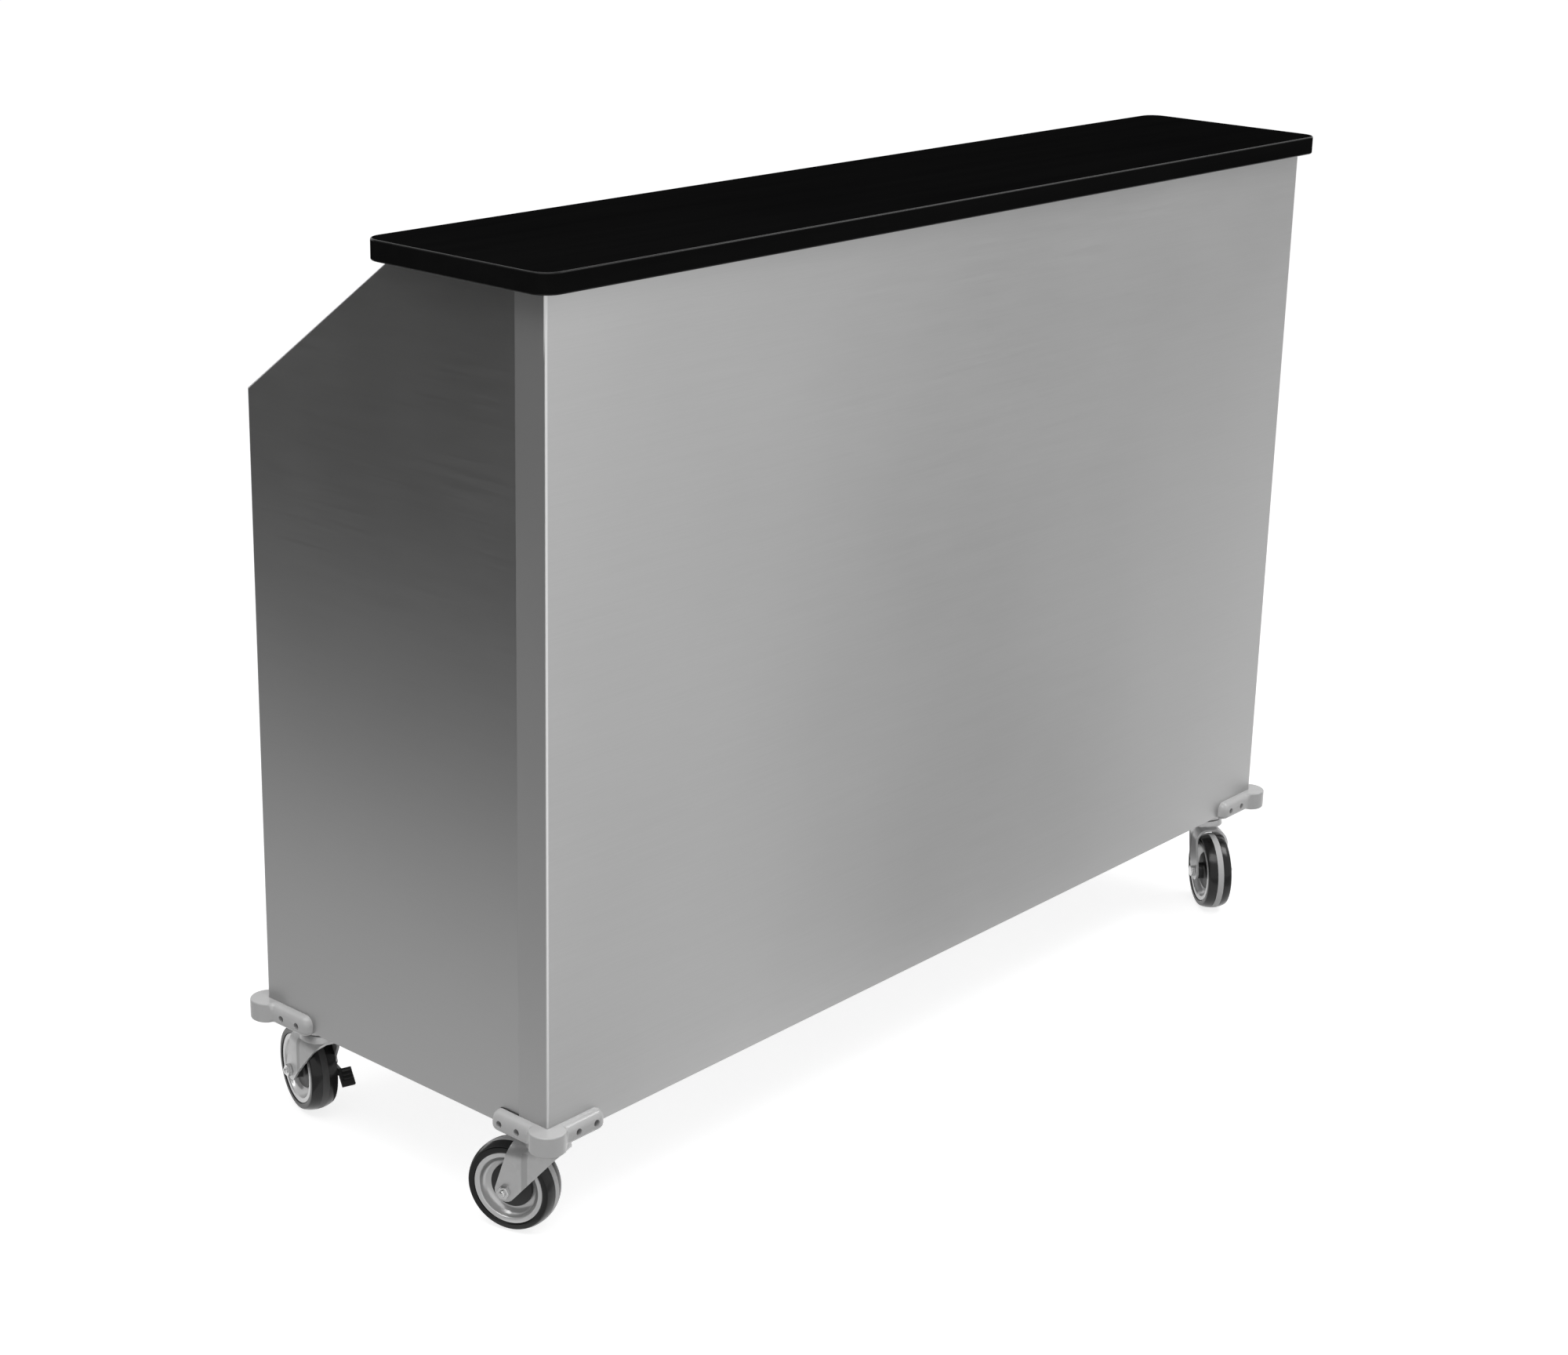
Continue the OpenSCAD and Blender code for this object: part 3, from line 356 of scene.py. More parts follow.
# moulded, rolled, plated and cast surfaces share the skin group
def skinFinish(name, s):
    relief = reliefSet["skin"]
    plain = {"Metallic": s.get("metal", 0.0), "Specular IOR Level": s.get("gloss", 0.5)}
    finish, tree, bsdf = newFinish(name, **plain)
    skin = addNode(tree, "ShaderNodeGroup", node_tree=surfaceSkin)
    for socket, key in (("Pit Scale", "pits"), ("Cell Scale", "cells"), ("Cloud Size", "clouds")):
        skin.inputs[socket].default_value = s[key]
    figure = skin.outputs[s.get("figure", "Clouds")]
    pits, clouds = skin.outputs["Pits"], skin.outputs["Clouds"]
    mixed = figured(tree, figure, pits, relief["share"], *relief["span"])
    link(tree, between(tree, mixed, *greys(s)), bsdf.inputs["Base Color"])
    rough = plus(tree, swung(tree, clouds, s["rough"], relief["clouds"]),
                 swung(tree, pits, 0, relief["pits"]))
    link(tree, rough, bsdf.inputs["Roughness"])
    bumped(tree, bsdf, pits, s["bump"], relief["depth"])
    return finish


skinSet = {
    "bumperGrey": {"tone": 0.56, "swing": 0.05, "rough": 0.18, "pits": 1500, "cells": 200, "clouds": 18,
                   "bump": 0.05},
    "rimGrey": {"tone": 0.68, "swing": 0.04, "rough": 0.2, "metal": 0.4, "pits": 1300, "cells": 200,
                "clouds": 30, "bump": 0.06},
    "hubBlack": {"tone": 0.011, "swing": 0.25, "rough": 0.42, "pits": 1200, "cells": 200, "clouds": 40,
                 "bump": 0.15},
    "pedalBlack": {"tone": 0.012, "swing": 0.25, "rough": 0.45, "pits": 1000, "cells": 200, "clouds": 40,
                   "bump": 0.25},
    "tyreBlack": {"tone": 0.005, "swing": 0.3, "rough": 0.2, "gloss": 0.35, "pits": 800, "cells": 200,
                  "clouds": 26, "bump": 0.03},
    # tread bands: a pale one that paints a highlight on the front wheels, a dark one that paints shade on the
    # braked rear wheels
    "paintedTreadHighlight": {"tone": 0.56, "swing": 0.06, "rough": 0.5, "pits": 1400, "cells": 400, "clouds": 60,
                    "bump": 0.12},
    "paintedTreadShade": {"tone": 0.04, "swing": 0.1, "rough": 0.4, "pits": 1400, "cells": 400, "clouds": 60,
                  "bump": 0.12},
    "zincPlate": {"tone": 0.58, "swing": 0.04, "rough": 0.36, "metal": 0.6, "pits": 1100, "cells": 160,
                  "clouds": 20, "bump": 0.14, "figure": "Cells"},
    # painted shade: a darker zinc for the faces in the crease groove
    "paintedCreaseShade": {"tone": 0.46, "swing": 0.06, "rough": 0.4, "metal": 0.6, "pits": 1100, "cells": 160,
                   "clouds": 20, "bump": 0.14},
    "brightSteel": {"tone": 0.62, "swing": 0.06, "rough": 0.2, "metal": 1.0, "pits": 900, "cells": 300,
                    "clouds": 60, "bump": 0.08},
    "darkSteel": {"tone": 0.05, "swing": 0.1, "rough": 0.45, "metal": 0.6, "pits": 900, "cells": 300,
                  "clouds": 60, "bump": 0.08},
    "valveBrass": {"tone": 0.60, "swing": 0.1, "rough": 0.3, "metal": 1.0, "tint": (1.1, 0.8, 0.42),
                   "pits": 700, "cells": 180, "clouds": 45, "bump": 0.2},
    "leverVinyl": {"tone": 0.42, "swing": 0.12, "rough": 0.4, "tint": (1, 0.1, 0.08), "pits": 600,
                   "cells": 200, "clouds": 50, "bump": 0.25},
    "foamFill": {"tone": 0.62, "swing": 0.14, "rough": 0.85, "tint": (1.08, 0.96, 0.66), "pits": 350,
                 "cells": 500, "clouds": 20, "bump": 0.7, "figure": "Cells"},
}
(bumperGrey, rimGrey, hubBlack, pedalBlack, tyreBlack, paintedTreadHighlight, paintedTreadShade, zincPlate, paintedCreaseShade,
 brightSteel, darkSteel, valveBrass, leverVinyl, foamFill) = (
    skinFinish(name, row) for name, row in skinSet.items())
print("finishes made:", len(bpy.data.materials))

# mesh helpers: gaps in millimetres, angle in degrees, and the shortest edge that is eased, in bevel widths
meshSet = {"weld": 0.004, "flat": 0.5, "seam": 0.01, "least": 2.2}


def copyOf(node):
    bm = bmesh.new()
    bm.from_mesh(nodes[node].data)
    bmesh.ops.remove_doubles(bm, verts=bm.verts, dist=meshSet["weld"] * mm)
    bmesh.ops.dissolve_limit(bm, angle_limit=math.radians(meshSet["flat"]), verts=bm.verts, edges=bm.edges)
    return bm


def easeEdges(bm, width, segments=2, angle=30, shortest=None, choose=None):
    least = (meshSet["least"] * width if shortest is None else shortest) * mm
    hard = [
        edge for edge in bm.edges
        if len(edge.link_faces) == 2 and edge.calc_length() > least
        and edge.calc_face_angle(0) > math.radians(angle) and (choose is None or choose(edge))
    ]
    made = bmesh.ops.bevel(
        bm, geom=hard, offset=width * mm, offset_type="OFFSET", segments=segments, profile=0.5,
        affect="EDGES", clamp_overlap=True, material=-1)
    return made["faces"]


def closeUp(bm):
    bmesh.ops.remove_doubles(bm, verts=bm.verts, dist=meshSet["seam"] * mm)
    bmesh.ops.recalc_face_normals(bm, faces=bm.faces)


def shaded(bm, sharp):
    for face in bm.faces:
        face.smooth = True
    for edge in bm.edges:
        edge.smooth = not (len(edge.link_faces) == 2 and edge.calc_face_angle(0) > math.radians(sharp))


def dress(name, bm, finish, *stands, sharp=48, more=()):
    shaded(bm, sharp)
    mesh = bpy.data.meshes.new(name)
    bm.to_mesh(mesh)
    bm.free()
    for wanted in (finish, *more):
        mesh.materials.append(wanted)
    piece = bpy.data.objects.new(name, mesh)
    scene.collection.objects.link(piece)
    even = piece.modifiers.new("evenNormals", "WEIGHTED_NORMAL")
    even.keep_sharp = True
    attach(piece, bodyOf[stands[0]])
    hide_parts(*stands)


def addIn(bm, other):
    mesh = bpy.data.meshes.new("joined")
    other.to_mesh(mesh)
    other.free()
    bm.from_mesh(mesh)
    bpy.data.meshes.remove(mesh)


# closed outline of (radius, along) in millimetres, turned about the X axis
def turned(outline, steps):
    bm = bmesh.new()
    ring = [bm.verts.new((along * mm, 0, radius * mm)) for radius, along in outline]
    rims = [bm.edges.new((ring[i - 1], ring[i])) for i in range(len(ring))]
    bmesh.ops.spin(bm, geom=ring + rims, cent=(0, 0, 0), axis=(1, 0, 0), angle=2 * math.pi, steps=steps,
                   use_merge=True, use_duplicate=False)
    closeUp(bm)
    return bm


def mirrored(half):
    return half + [(radius, -along) for radius, along in reversed(half)]


# a row of edges drawn out once: the new points, and the edges between them
def drawOut(bm, edges):
    drawn = bmesh.ops.extrude_edge_only(bm, edges=edges)["geom"]
    fresh = [item for item in drawn if isinstance(item, bmesh.types.BMVert)]
    front = [item for item in drawn if isinstance(item, bmesh.types.BMEdge)
             and all(vert in fresh for vert in item.verts)]
    return fresh, front


def placed(bm, matrix):
    bmesh.ops.transform(bm, matrix=matrix, verts=bm.verts)
    return bm


# one shape cut out of another, with the result applied
def carved(bm, cutter):
    items = []
    for shape in (bm, cutter):
        mesh = bpy.data.meshes.new("carving")
        shape.to_mesh(mesh)
        shape.free()
        item = bpy.data.objects.new("carving", mesh)
        scene.collection.objects.link(item)
        items.append(item)
    cut = items[0].modifiers.new("cut", "BOOLEAN")
    cut.operation = "DIFFERENCE"
    cut.solver = "EXACT"
    cut.object = items[1]
    bpy.context.view_layer.update()
    result = bmesh.new()
    result.from_object(items[0], bpy.context.evaluated_depsgraph_get())
    for item in items:
        bpy.data.meshes.remove(item.data)
    return result


def rod(radius, start, end, steps=32):
    start, end = Vector(start), Vector(end)
    way = (end - start) * mm
    stand = Matrix.Translation((start + end) / 2 * mm) @ way.to_track_quat("Z", "Y").to_matrix().to_4x4()
    bm = bmesh.new()
    bmesh.ops.create_cone(bm, cap_ends=True, segments=steps, radius1=radius * mm, radius2=radius * mm,
                          depth=way.length, matrix=stand)
    return bm


# whether both ends of an edge have the given values on the given axes
def onLine(edge, axes, spot, near=0.02):
    return all(abs(vert.co[axis] - value) < near * mm
               for vert in edge.verts for axis, value in zip(axes, spot))


def camelName(node):
    head, *rest = node.split("_")
    return head + "".join(word.capitalize() for word in rest)


# panels: the folds get their bend radius, then every cut edge is eased
panelSet = {"bend": 2.6, "bendSteps": 6, "sheet": 1.5, "endBend": 2.4, "endSteps": 5, "edge": 0.3,
            "shortest": 2.0, "foldLeast": 0.1, "frontClear": 0.001, "footClear": 0.01}


def buildFrontPanel(s):
    bm = copyOf("front_panel")
    low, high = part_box("front_panel")
    for reach, inset in ((s["bend"], 0), (s["bend"] - s["sheet"], s["sheet"] * mm)):
        folds = [(x, low.y + inset) for x in (low.x + inset, high.x - inset)]
        easeEdges(bm, reach, s["bendSteps"],
                  choose=lambda edge: any(onLine(edge, (0, 1), fold) for fold in folds))
    easeEdges(bm, s["edge"], shortest=s["shortest"])
    dress("frontPanel", bm, frontSteel, "front_panel")


def buildEndPanel(side, s):
    node = side + "_end_panel"
    bm = copyOf(node)
    low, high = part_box(node)
    face, inset = (low.x, s["sheet"] * mm) if side == "left" else (high.x, -s["sheet"] * mm)
    for reach, x in ((s["endBend"], face), (s["endBend"] - s["sheet"], face + inset)):
        def onFold(edge):
            ends = [vert.co for vert in edge.verts]
            return (onLine(edge, (0,), (x,)) and edge.calc_length() > s["foldLeast"]
                    and max(end.y for end in ends) > low.y + s["frontClear"]
                    and max(end.z for end in ends) > low.z + s["footClear"])

        easeEdges(bm, reach, s["endSteps"], choose=onFold)
    easeEdges(bm, s["edge"], shortest=s["shortest"])
    dress(side + "EndPanel", bm, endSteel, node)


buildFrontPanel(panelSet)
for side in ("left", "right"):
    buildEndPanel(side, panelSet)
print("panels folded")

# counter: eased edges all round, with slot 0 on the flat faces, 1 on the eased edges in a lighter tone that paints
# a highlight line, and 2 on the sides in a lighter tone that paints light
counterSet = {"edge": 1.6, "segments": 4, "shortest": 1.0, "upright": 0.5}


def buildCounter(s):
    bm = copyOf("counter_top")
    for face in bm.faces:
        face.material_index = 2 if abs(face.normal.z) < s["upright"] else 0
    for face in easeEdges(bm, s["edge"], s["segments"], shortest=s["shortest"]):
        face.material_index = 1
    dress("counterTop", bm, blackLaminate, "counter_top", more=(paintedEdgeHighlight, paintedSideLight))


buildCounter(counterSet)
print("counter eased")

# pieces that are eased copies of their nodes: finish and edge width
sheetSet = {
    "counter_front_rail": (innerSteel, 0.4), "counter_rear_rail": (innerSteel, 0.4),
    "left_base_channel": (dividerSteel, 0.6), "right_base_channel": (dividerSteel, 0.6),
    "front_base_rail": (innerSteel, 0.6), "rear_base_rail": (innerSteel, 0.6),
    "base_shelf": (innerSteel, 0.4),
    "left_divider": (dividerSteel, 0.4), "right_divider": (dividerSteel, 0.4),
    "left_shelf": (innerSteel, 0.4), "right_shelf": (innerSteel, 0.4),
    "work_deck": (deckSteel, 0.4), "speed_rail": (deckSteel, 0.4),
    "ice_bin_jacket": (innerSteel, 0.4), "ice_bin_insulation": (foamFill, 0.6),
    "lid_hinge_leaf": (brightSteel, 0.25), "lid_hinge_pin": (brightSteel, 0.5),
    "counter_screws": (brightSteel, 0.3), "bumper_screws": (darkSteel, 0.3),
    "caster_plate_bolts": (brightSteel, 0.4), "caster_top_plates": (zincPlate, 0.6),
    "drain_tailpiece": (brightSteel, 0.4), "drain_valve": (valveBrass, 0.7),
    "drain_ball": (brightSteel, 0.3), "drain_lever": (leverVinyl, 1.2),
}

for node, (finish, width) in sheetSet.items():
    easedCopy = copyOf(node)
    easeEdges(easedCopy, width)
    dress(camelName(node), easedCopy, finish, node)
print("eased copies made:", len(sheetSet))

# pressed tubs: the foot is rounded outside and in, clear of the drain hole in the middle
tubSet = {"foot": 9.0, "footSteps": 5, "wall": 1.2, "edge": 0.4, "shortest": 0.5, "drainClear": 0.05}


def buildTub(node, s):
    bm = copyOf(node)
    low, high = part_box(node)
    middle = [(low[axis] + high[axis]) / 2 for axis in (0, 1)]
    for reach, z in ((s["foot"], low.z), (s["foot"] - s["wall"], low.z + s["wall"] * mm)):
        def onFoot(edge):
            away = sum(max(abs(vert.co[axis] - middle[axis]) for vert in edge.verts) for axis in (0, 1))
            return onLine(edge, (2,), (z,)) and away > s["drainClear"]

        easeEdges(bm, reach, s["footSteps"], shortest=0.0, choose=onFoot)
    easeEdges(bm, s["edge"], shortest=s["shortest"])
    dress(camelName(node), bm, pressedSteel, node)


for node in ("ice_bin_liner", "left_bottle_well", "right_bottle_well"):
    buildTub(node, tubSet)
print("tubs pressed")

# lid with an eased top
lidSet = {"top": 1.4, "topSteps": 4, "topLeast": 0.05, "edge": 0.3}


def buildLid(s):
    bm = copyOf("ice_bin_lid")
    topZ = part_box("ice_bin_lid")[1].z
    easeEdges(bm, s["top"], s["topSteps"],
              choose=lambda edge: onLine(edge, (2,), (topZ,)) and edge.calc_length() > s["topLeast"])
    easeEdges(bm, s["edge"])
    dress("iceBinLid", bm, deckSteel, "ice_bin_lid")


# bent-bar handle on two feet
handleSet = {"barRadius": 4.0, "barSides": 20, "bend": 9.0, "bendSteps": 8, "footRadius": 8.0,
             "footHeight": 2.0, "footEdge": 1.2, "footLap": 1, "footSides": 32}


def buildHandle(s):
    low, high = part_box("lid_handle")
    radius, bend = s["barRadius"] * mm, s["bend"] * mm
    y = (low.y + high.y) / 2
    left, right = low.x + s["footRadius"] * mm, high.x - s["footRadius"] * mm
    barZ = high.z - radius
    bm = bmesh.new()
    bmesh.ops.create_circle(bm, cap_ends=True, segments=s["barSides"], radius=radius,
                            matrix=Matrix.Translation((left, y, low.z)))
    edges = bm.edges[:]

    def pull(way):
        moved, front = drawOut(bm, edges)
        bmesh.ops.translate(bm, verts=moved, vec=way)
        return front

    def turn(centre):
        swept = bmesh.ops.spin(bm, geom=edges, cent=centre, axis=(0, 1, 0), angle=math.pi / 2,
                               steps=s["bendSteps"])["geom_last"]
        return [item for item in swept if isinstance(item, bmesh.types.BMEdge)]

    edges = pull((0, 0, barZ - bend - low.z))
    edges = turn((left + bend, y, barZ - bend))
    edges = pull((right - left - 2 * bend, 0, 0))
    edges = turn((right - bend, y, barZ - bend))
    edges = pull((0, 0, low.z - barZ + bend))
    bmesh.ops.edgeloop_fill(bm, edges=edges)
    inner, outer, rise, ease = s["barRadius"] - s["footLap"], s["footRadius"], s["footHeight"], s["footEdge"]
    for x in (left, right):
        foot = turned([(inner, 0), (outer, 0), (outer, ease), (outer - ease, rise), (inner, rise)],
                      s["footSides"])
        stand = Matrix.Translation((x, y, low.z)) @ Matrix.Rotation(-math.pi / 2, 4, "Y")
        addIn(bm, placed(foot, stand))
    closeUp(bm)
    dress("lidHandle", bm, brightSteel, "lid_handle")


buildLid(lidSet)
buildHandle(handleSet)
print("lid and handle made")

# corner bumpers: a plan outline drawn up through rings, with rounded shoulders, domed ends
# and a filleted drum; each arm has two stepped screw holes
bumperSet = {
    "arm": 77.0, "thick": 11.0, "height": 23.0, "drum": 20.0, "fillet": 8.0, "shoulder": 10.6, "foot": 6.5,
    "drumEdge": 1.6, "rings": 7, "arcSteps": 9, "drumSteps": 14, "armStops": (54.0, 46.0, 38.0, 30.0, 25.0),
    "holes": (35.0, 61.0), "holeZ": 10.5, "holeRadius": 3.9, "holeSides": 28, "holePast": 4, "seat": 3.0,
    "boreRadius": 2.2, "boreSides": 16, "borePast": 2, "boreLap": 0.5,
    "holeEdge": 0.5, "holeEdgeSteps": 3, "holeAngle": 40, "holeLeast": 0.1, "mouthPast": 1, "mouthNear": 0.12,
}


def flatWay(angle):
    return Vector((math.cos(angle), math.sin(angle), 0))


# points of one half of the plan: place, way inwards, and share of the arm's own rounding
def bumperHalf(s):
    thick, drum, fillet, steps = s["thick"], s["drum"], s["fillet"], s["arcSteps"]
    endAt = Vector((s["arm"] - thick, 0, 0))
    blendX = math.sqrt((drum + fillet) ** 2 - (thick + fillet) ** 2)
    points = []
    for i in range(steps + 1):
        way = flatWay(math.radians(-90 * i / steps))
        points.append((endAt + way * thick, -way, 1.0))
    for x in s["armStops"]:
        points.append((Vector((x, -thick, 0)), Vector((0, 1, 0)), 1.0))
    centre = Vector((blendX, -thick - fillet, 0))
    turnAll = math.atan2(thick + fillet, -blendX)
    for i in range(steps + 1):
        ease = i / steps
        way = flatWay(math.pi / 2 + (turnAll - math.pi / 2) * i / steps)
        points.append((centre + way * fillet, way, 1 - ease * ease * (3 - 2 * ease)))
    start = math.atan2(-thick - fillet, blendX)
    diagonal = math.radians(-135)
    for i in range(1, s["drumSteps"] + 1):
        way = flatWay(start + (diagonal - start) * i / s["drumSteps"])
        points.append((way * drum, -way, 0.0))
    return points


def flipDiagonal(v):
    return Vector((v.y, v.x, v.z))


# stepped holes: a wide one down to the screw's seat, and its bore through the rest
def bumperHoles(s):
    cutter = bmesh.new()
    for along in s["holes"]:
        for mark in (Vector((along, 0, s["holeZ"])), Vector((0, along, s["holeZ"]))):
            out = Vector((0, -1, 0)) if mark.y == 0 else Vector((-1, 0, 0))
            seatAt, mouth = mark + out * s["seat"], mark + out * (s["thick"] + s["holePast"])
            addIn(cutter, rod(s["holeRadius"], seatAt, mouth, s["holeSides"]))
            root, lap = mark - out * s["borePast"], mark + out * (s["seat"] + s["boreLap"])
            addIn(cutter, rod(s["boreRadius"], root, lap, s["boreSides"]))
    return cutter


def buildBumper(corner, s):
    half = bumperHalf(s)
    other = [(flipDiagonal(p), flipDiagonal(w), share) for p, w, share in reversed(half[:-1])]
    plan = [(Vector((0, 0, 0)), Vector((0, 0, 0)), 0.0)] + half + other
    quarter = [math.pi / 2 * i / (s["rings"] - 1) for i in range(s["rings"])]
    rounds = [(1 - math.sin(a), 1 - math.cos(a), False) for a in quarter]
    rounds += [(1 - math.cos(a), 1 - math.sin(a), True) for a in quarter]

    def spot(rank, ring):
        place, way, share = plan[rank]
        inset, rise, upper = rounds[ring]
        reach = s["drumEdge"] + ((s["shoulder"] if upper else s["foot"]) - s["drumEdge"]) * share
        z = s["height"] - reach * rise if upper else reach * rise
        if rank == 0:
            z = s["height"] if upper else 0.0
        return (place + way * reach * inset + Vector((0, 0, z))) * mm

    bm = bmesh.new()
    rank = bm.verts.layers.int.new("rank")
    loop = [bm.verts.new(spot(i, 0)) for i in range(len(plan))]
    for i, vert in enumerate(loop):
        vert[rank] = i
    edges = [bm.edges.new((loop[i - 1], loop[i])) for i in range(len(loop))]
    bmesh.ops.edgeloop_fill(bm, edges=edges)
    for ring in range(1, len(rounds)):
        fresh, edges = drawOut(bm, edges)
        for vert in fresh:
            vert.co = spot(vert[rank], ring)
    bmesh.ops.edgeloop_fill(bm, edges=edges)
    closeUp(bm)
    bm = carved(bm, bumperHoles(s))

    def onMouth(edge):
        for vert in edge.verts:
            at = vert.co / mm
            outer = min(at.x, at.y) < -s["seat"] - s["mouthPast"]
            along = at.x if at.y < at.x else at.y
            off = min(math.hypot(along - hole, at.z - s["holeZ"]) for hole in s["holes"])
            if not outer or abs(off - s["holeRadius"]) > s["mouthNear"]:
                return False
        return True

    easeEdges(bm, s["holeEdge"], s["holeEdgeSteps"], angle=s["holeAngle"], shortest=s["holeLeast"],
              choose=onMouth)
    sideX, sideY = (-1 if "left" in corner else 1), (-1 if "front" in corner else 1)
    low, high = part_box(corner + "_bumper")
    reach = s["drum"] * mm
    x = low.x + reach if sideX < 0 else high.x - reach
    y = low.y + reach if sideY < 0 else high.y - reach
    placed(bm, Matrix.Translation((x, y, low.z)) @ Matrix.Diagonal((-sideX, -sideY, 1, 1)))
    if sideX * sideY < 0:
        bmesh.ops.reverse_faces(bm, faces=bm.faces)
    dress(camelName(corner) + "Bumper", bm, bumperGrey, corner + "_bumper", sharp=40)


for corner in cornerNames:
    buildBumper(corner, bumperSet)
print("bumpers moulded")

# casters: made about their own swivel axis, then set in place; sizes of wheel, fork, crease, cup and axle
casterSet = {
    "wheelRadius": 51.0, "trail": 40.0, "bandHalfWidth": 4.5, "wheelSides": 128, "hubSides": 96,
    "legIn": 19.5, "forkSheet": 3.0, "forkBend": 18.0, "forkBendSteps": 12, "blankFoot": 30.0,
    "blankDepth": 80, "crownZ": 107.8, "crownNear": 1,
    "lead": -24.0, "leadZ": 106.5, "tail": 35.0, "tailZ": 107.0,
    "boss": 12.0, "bossSteps": 9, "forkEdge": 0.5, "forkAngle": 50, "forkLeast": 1.2,
    "crease": 17.0, "creaseTurn": 12.0, "creaseWidth": 3.4, "creaseDepth": 1.1,
    "kingHole": 9.4, "kingSides": 44, "kingBelow": 6, "kingAbove": 3, "studPlay": 0.1, "studPast": 3,
    "cupRadius": 23.0, "cupTop": 115.3, "cupPlay": 0.3, "cupSink": 1, "cupFlare": 1.5, "cupNeck": 1.2,
    "cupStep": 2, "cupEdge": 1.2, "cupSides": 64,
    "nutRadius": 7.4, "nutHeight": 5.6, "nutEdge": 0.7, "nutEdgeSteps": 3, "nutLap": 0.6, "pedalHead": 27.3,
    "studRadius": 5.0, "studTip": 2.6, "studSides": 28, "tipRadius": 3.6, "tipEdge": 0.9, "axisGap": 0.3,
    "shankEdge": 1, "shankEase": 0.6, "headSink": 0.1,
}
tyreOutline = mirrored([(41.0, 15.3), (42.2, 16.0), (46.4, 16.0), (47.3, 15.6), (47.9, 14.9), (48.8, 12.8),
                        (49.6, 10.5), (50.2, 8.0), (50.7, 4.8), (50.8, 4.0), (50.98, 0.8)])
rimOutline = mirrored([(40.8, 14.4), (40.3, 15.0), (36.0, 15.0), (35.2, 14.6), (34.6, 13.2), (33.6, 10.4),
                       (31.6, 7.6), (29.2, 5.9), (26.8, 5.1), (24.7, 4.9)])
hubOutline = mirrored([(24.5, 7.4), (23.6, 8.5), (13.2, 9.0), (11.4, 10.4), (11.0, 12.5), (11.0, 18.3),
                       (10.3, 19.0), (5.1, 19.0)])


def hexNut(s, x):
    bm = bmesh.new()
    radius = s["nutRadius"] * mm
    stand = Matrix.Translation((x * mm, 0, 0)) @ Matrix.Rotation(math.pi / 2, 4, "Y")
    bmesh.ops.create_cone(bm, cap_ends=True, segments=6, radius1=radius, radius2=radius,
                          depth=s["nutHeight"] * mm, matrix=stand)
    easeEdges(bm, s["nutEdge"], s["nutEdgeSteps"])
    return bm


def slicePlane(bm, point, normal, clear=False):
    bmesh.ops.bisect_plane(bm, geom=bm.verts[:] + bm.edges[:] + bm.faces[:], plane_co=point,
                           plane_no=normal, clear_outer=clear)


# bent sheet over the wheel, trimmed to the boss at the axle
def forkBlank(s, out, axle):
    bm = bmesh.new()
    outline = [(-out, s["blankFoot"]), (-out, s["crownZ"]), (out, s["crownZ"]), (out, s["blankFoot"])]
    verts = [bm.verts.new((x * mm, s["lead"] * mm, z * mm)) for x, z in outline]
    edges = [bm.edges.new((verts[i], verts[i + 1])) for i in range(len(verts) - 1)]
    bmesh.ops.translate(bm, verts=drawOut(bm, edges)[0], vec=(0, s["blankDepth"] * mm, 0))
    easeEdges(bm, s["forkBend"], s["forkBendSteps"])

    def edgeTurn(y, z, side):
        away = axle - Vector((0, y, z))
        angle = math.atan2(away.z, away.y) + side * math.asin(s["boss"] / away.length)
        return math.degrees(angle) + side * 90

    leadAngle = edgeTurn(s["lead"], s["leadZ"], -1)
    tailAngle = edgeTurn(s["tail"], s["tailZ"], 1)
    for i in range(s["bossSteps"] + 1):
        angle = math.radians(leadAngle + (tailAngle - leadAngle) * i / s["bossSteps"])
        normal = Vector((0, math.cos(angle), math.sin(angle)))
        slicePlane(bm, (axle + normal * s["boss"]) * mm, normal, clear=True)
    return bm


# crease pressed down each leg, with the part ahead of it turned in
def pressCrease(bm, s, out):
    crease, width = s["crease"], s["creaseWidth"]
    for y in (crease - width, crease, crease + width):
        slicePlane(bm, (0, y * mm, 0), (0, 1, 0))
    slope = math.tan(math.radians(s["creaseTurn"]))
    flatHalf = (out - s["forkBend"]) * mm
    for vert in bm.verts:
        fold = crease * mm - vert.co.y
        share = (abs(vert.co.x) - flatHalf) / (s["forkBend"] * mm)
        if share <= 0:
            continue
        pressed = max(0.0, s["creaseDepth"] * mm * (1 - abs(fold) / (width * mm)))
        vert.co.x -= math.copysign((max(fold, 0.0) * slope + pressed) * share, vert.co.x)


def bearingCup(s):
    hole, rim, ease = s["kingHole"] + s["cupPlay"], s["cupRadius"], s["cupEdge"]
    low, top = s["crownZ"] - s["cupSink"], s["cupTop"]
    cup = turned([(hole, -low), (rim + s["cupFlare"], -low), (rim + s["cupNeck"], -low - s["cupStep"]),
                  (rim, -top + ease), (rim - ease, -top), (hole, -top)], s["cupSides"])
    return placed(cup, Matrix.Rotation(math.pi / 2, 4, "Y"))


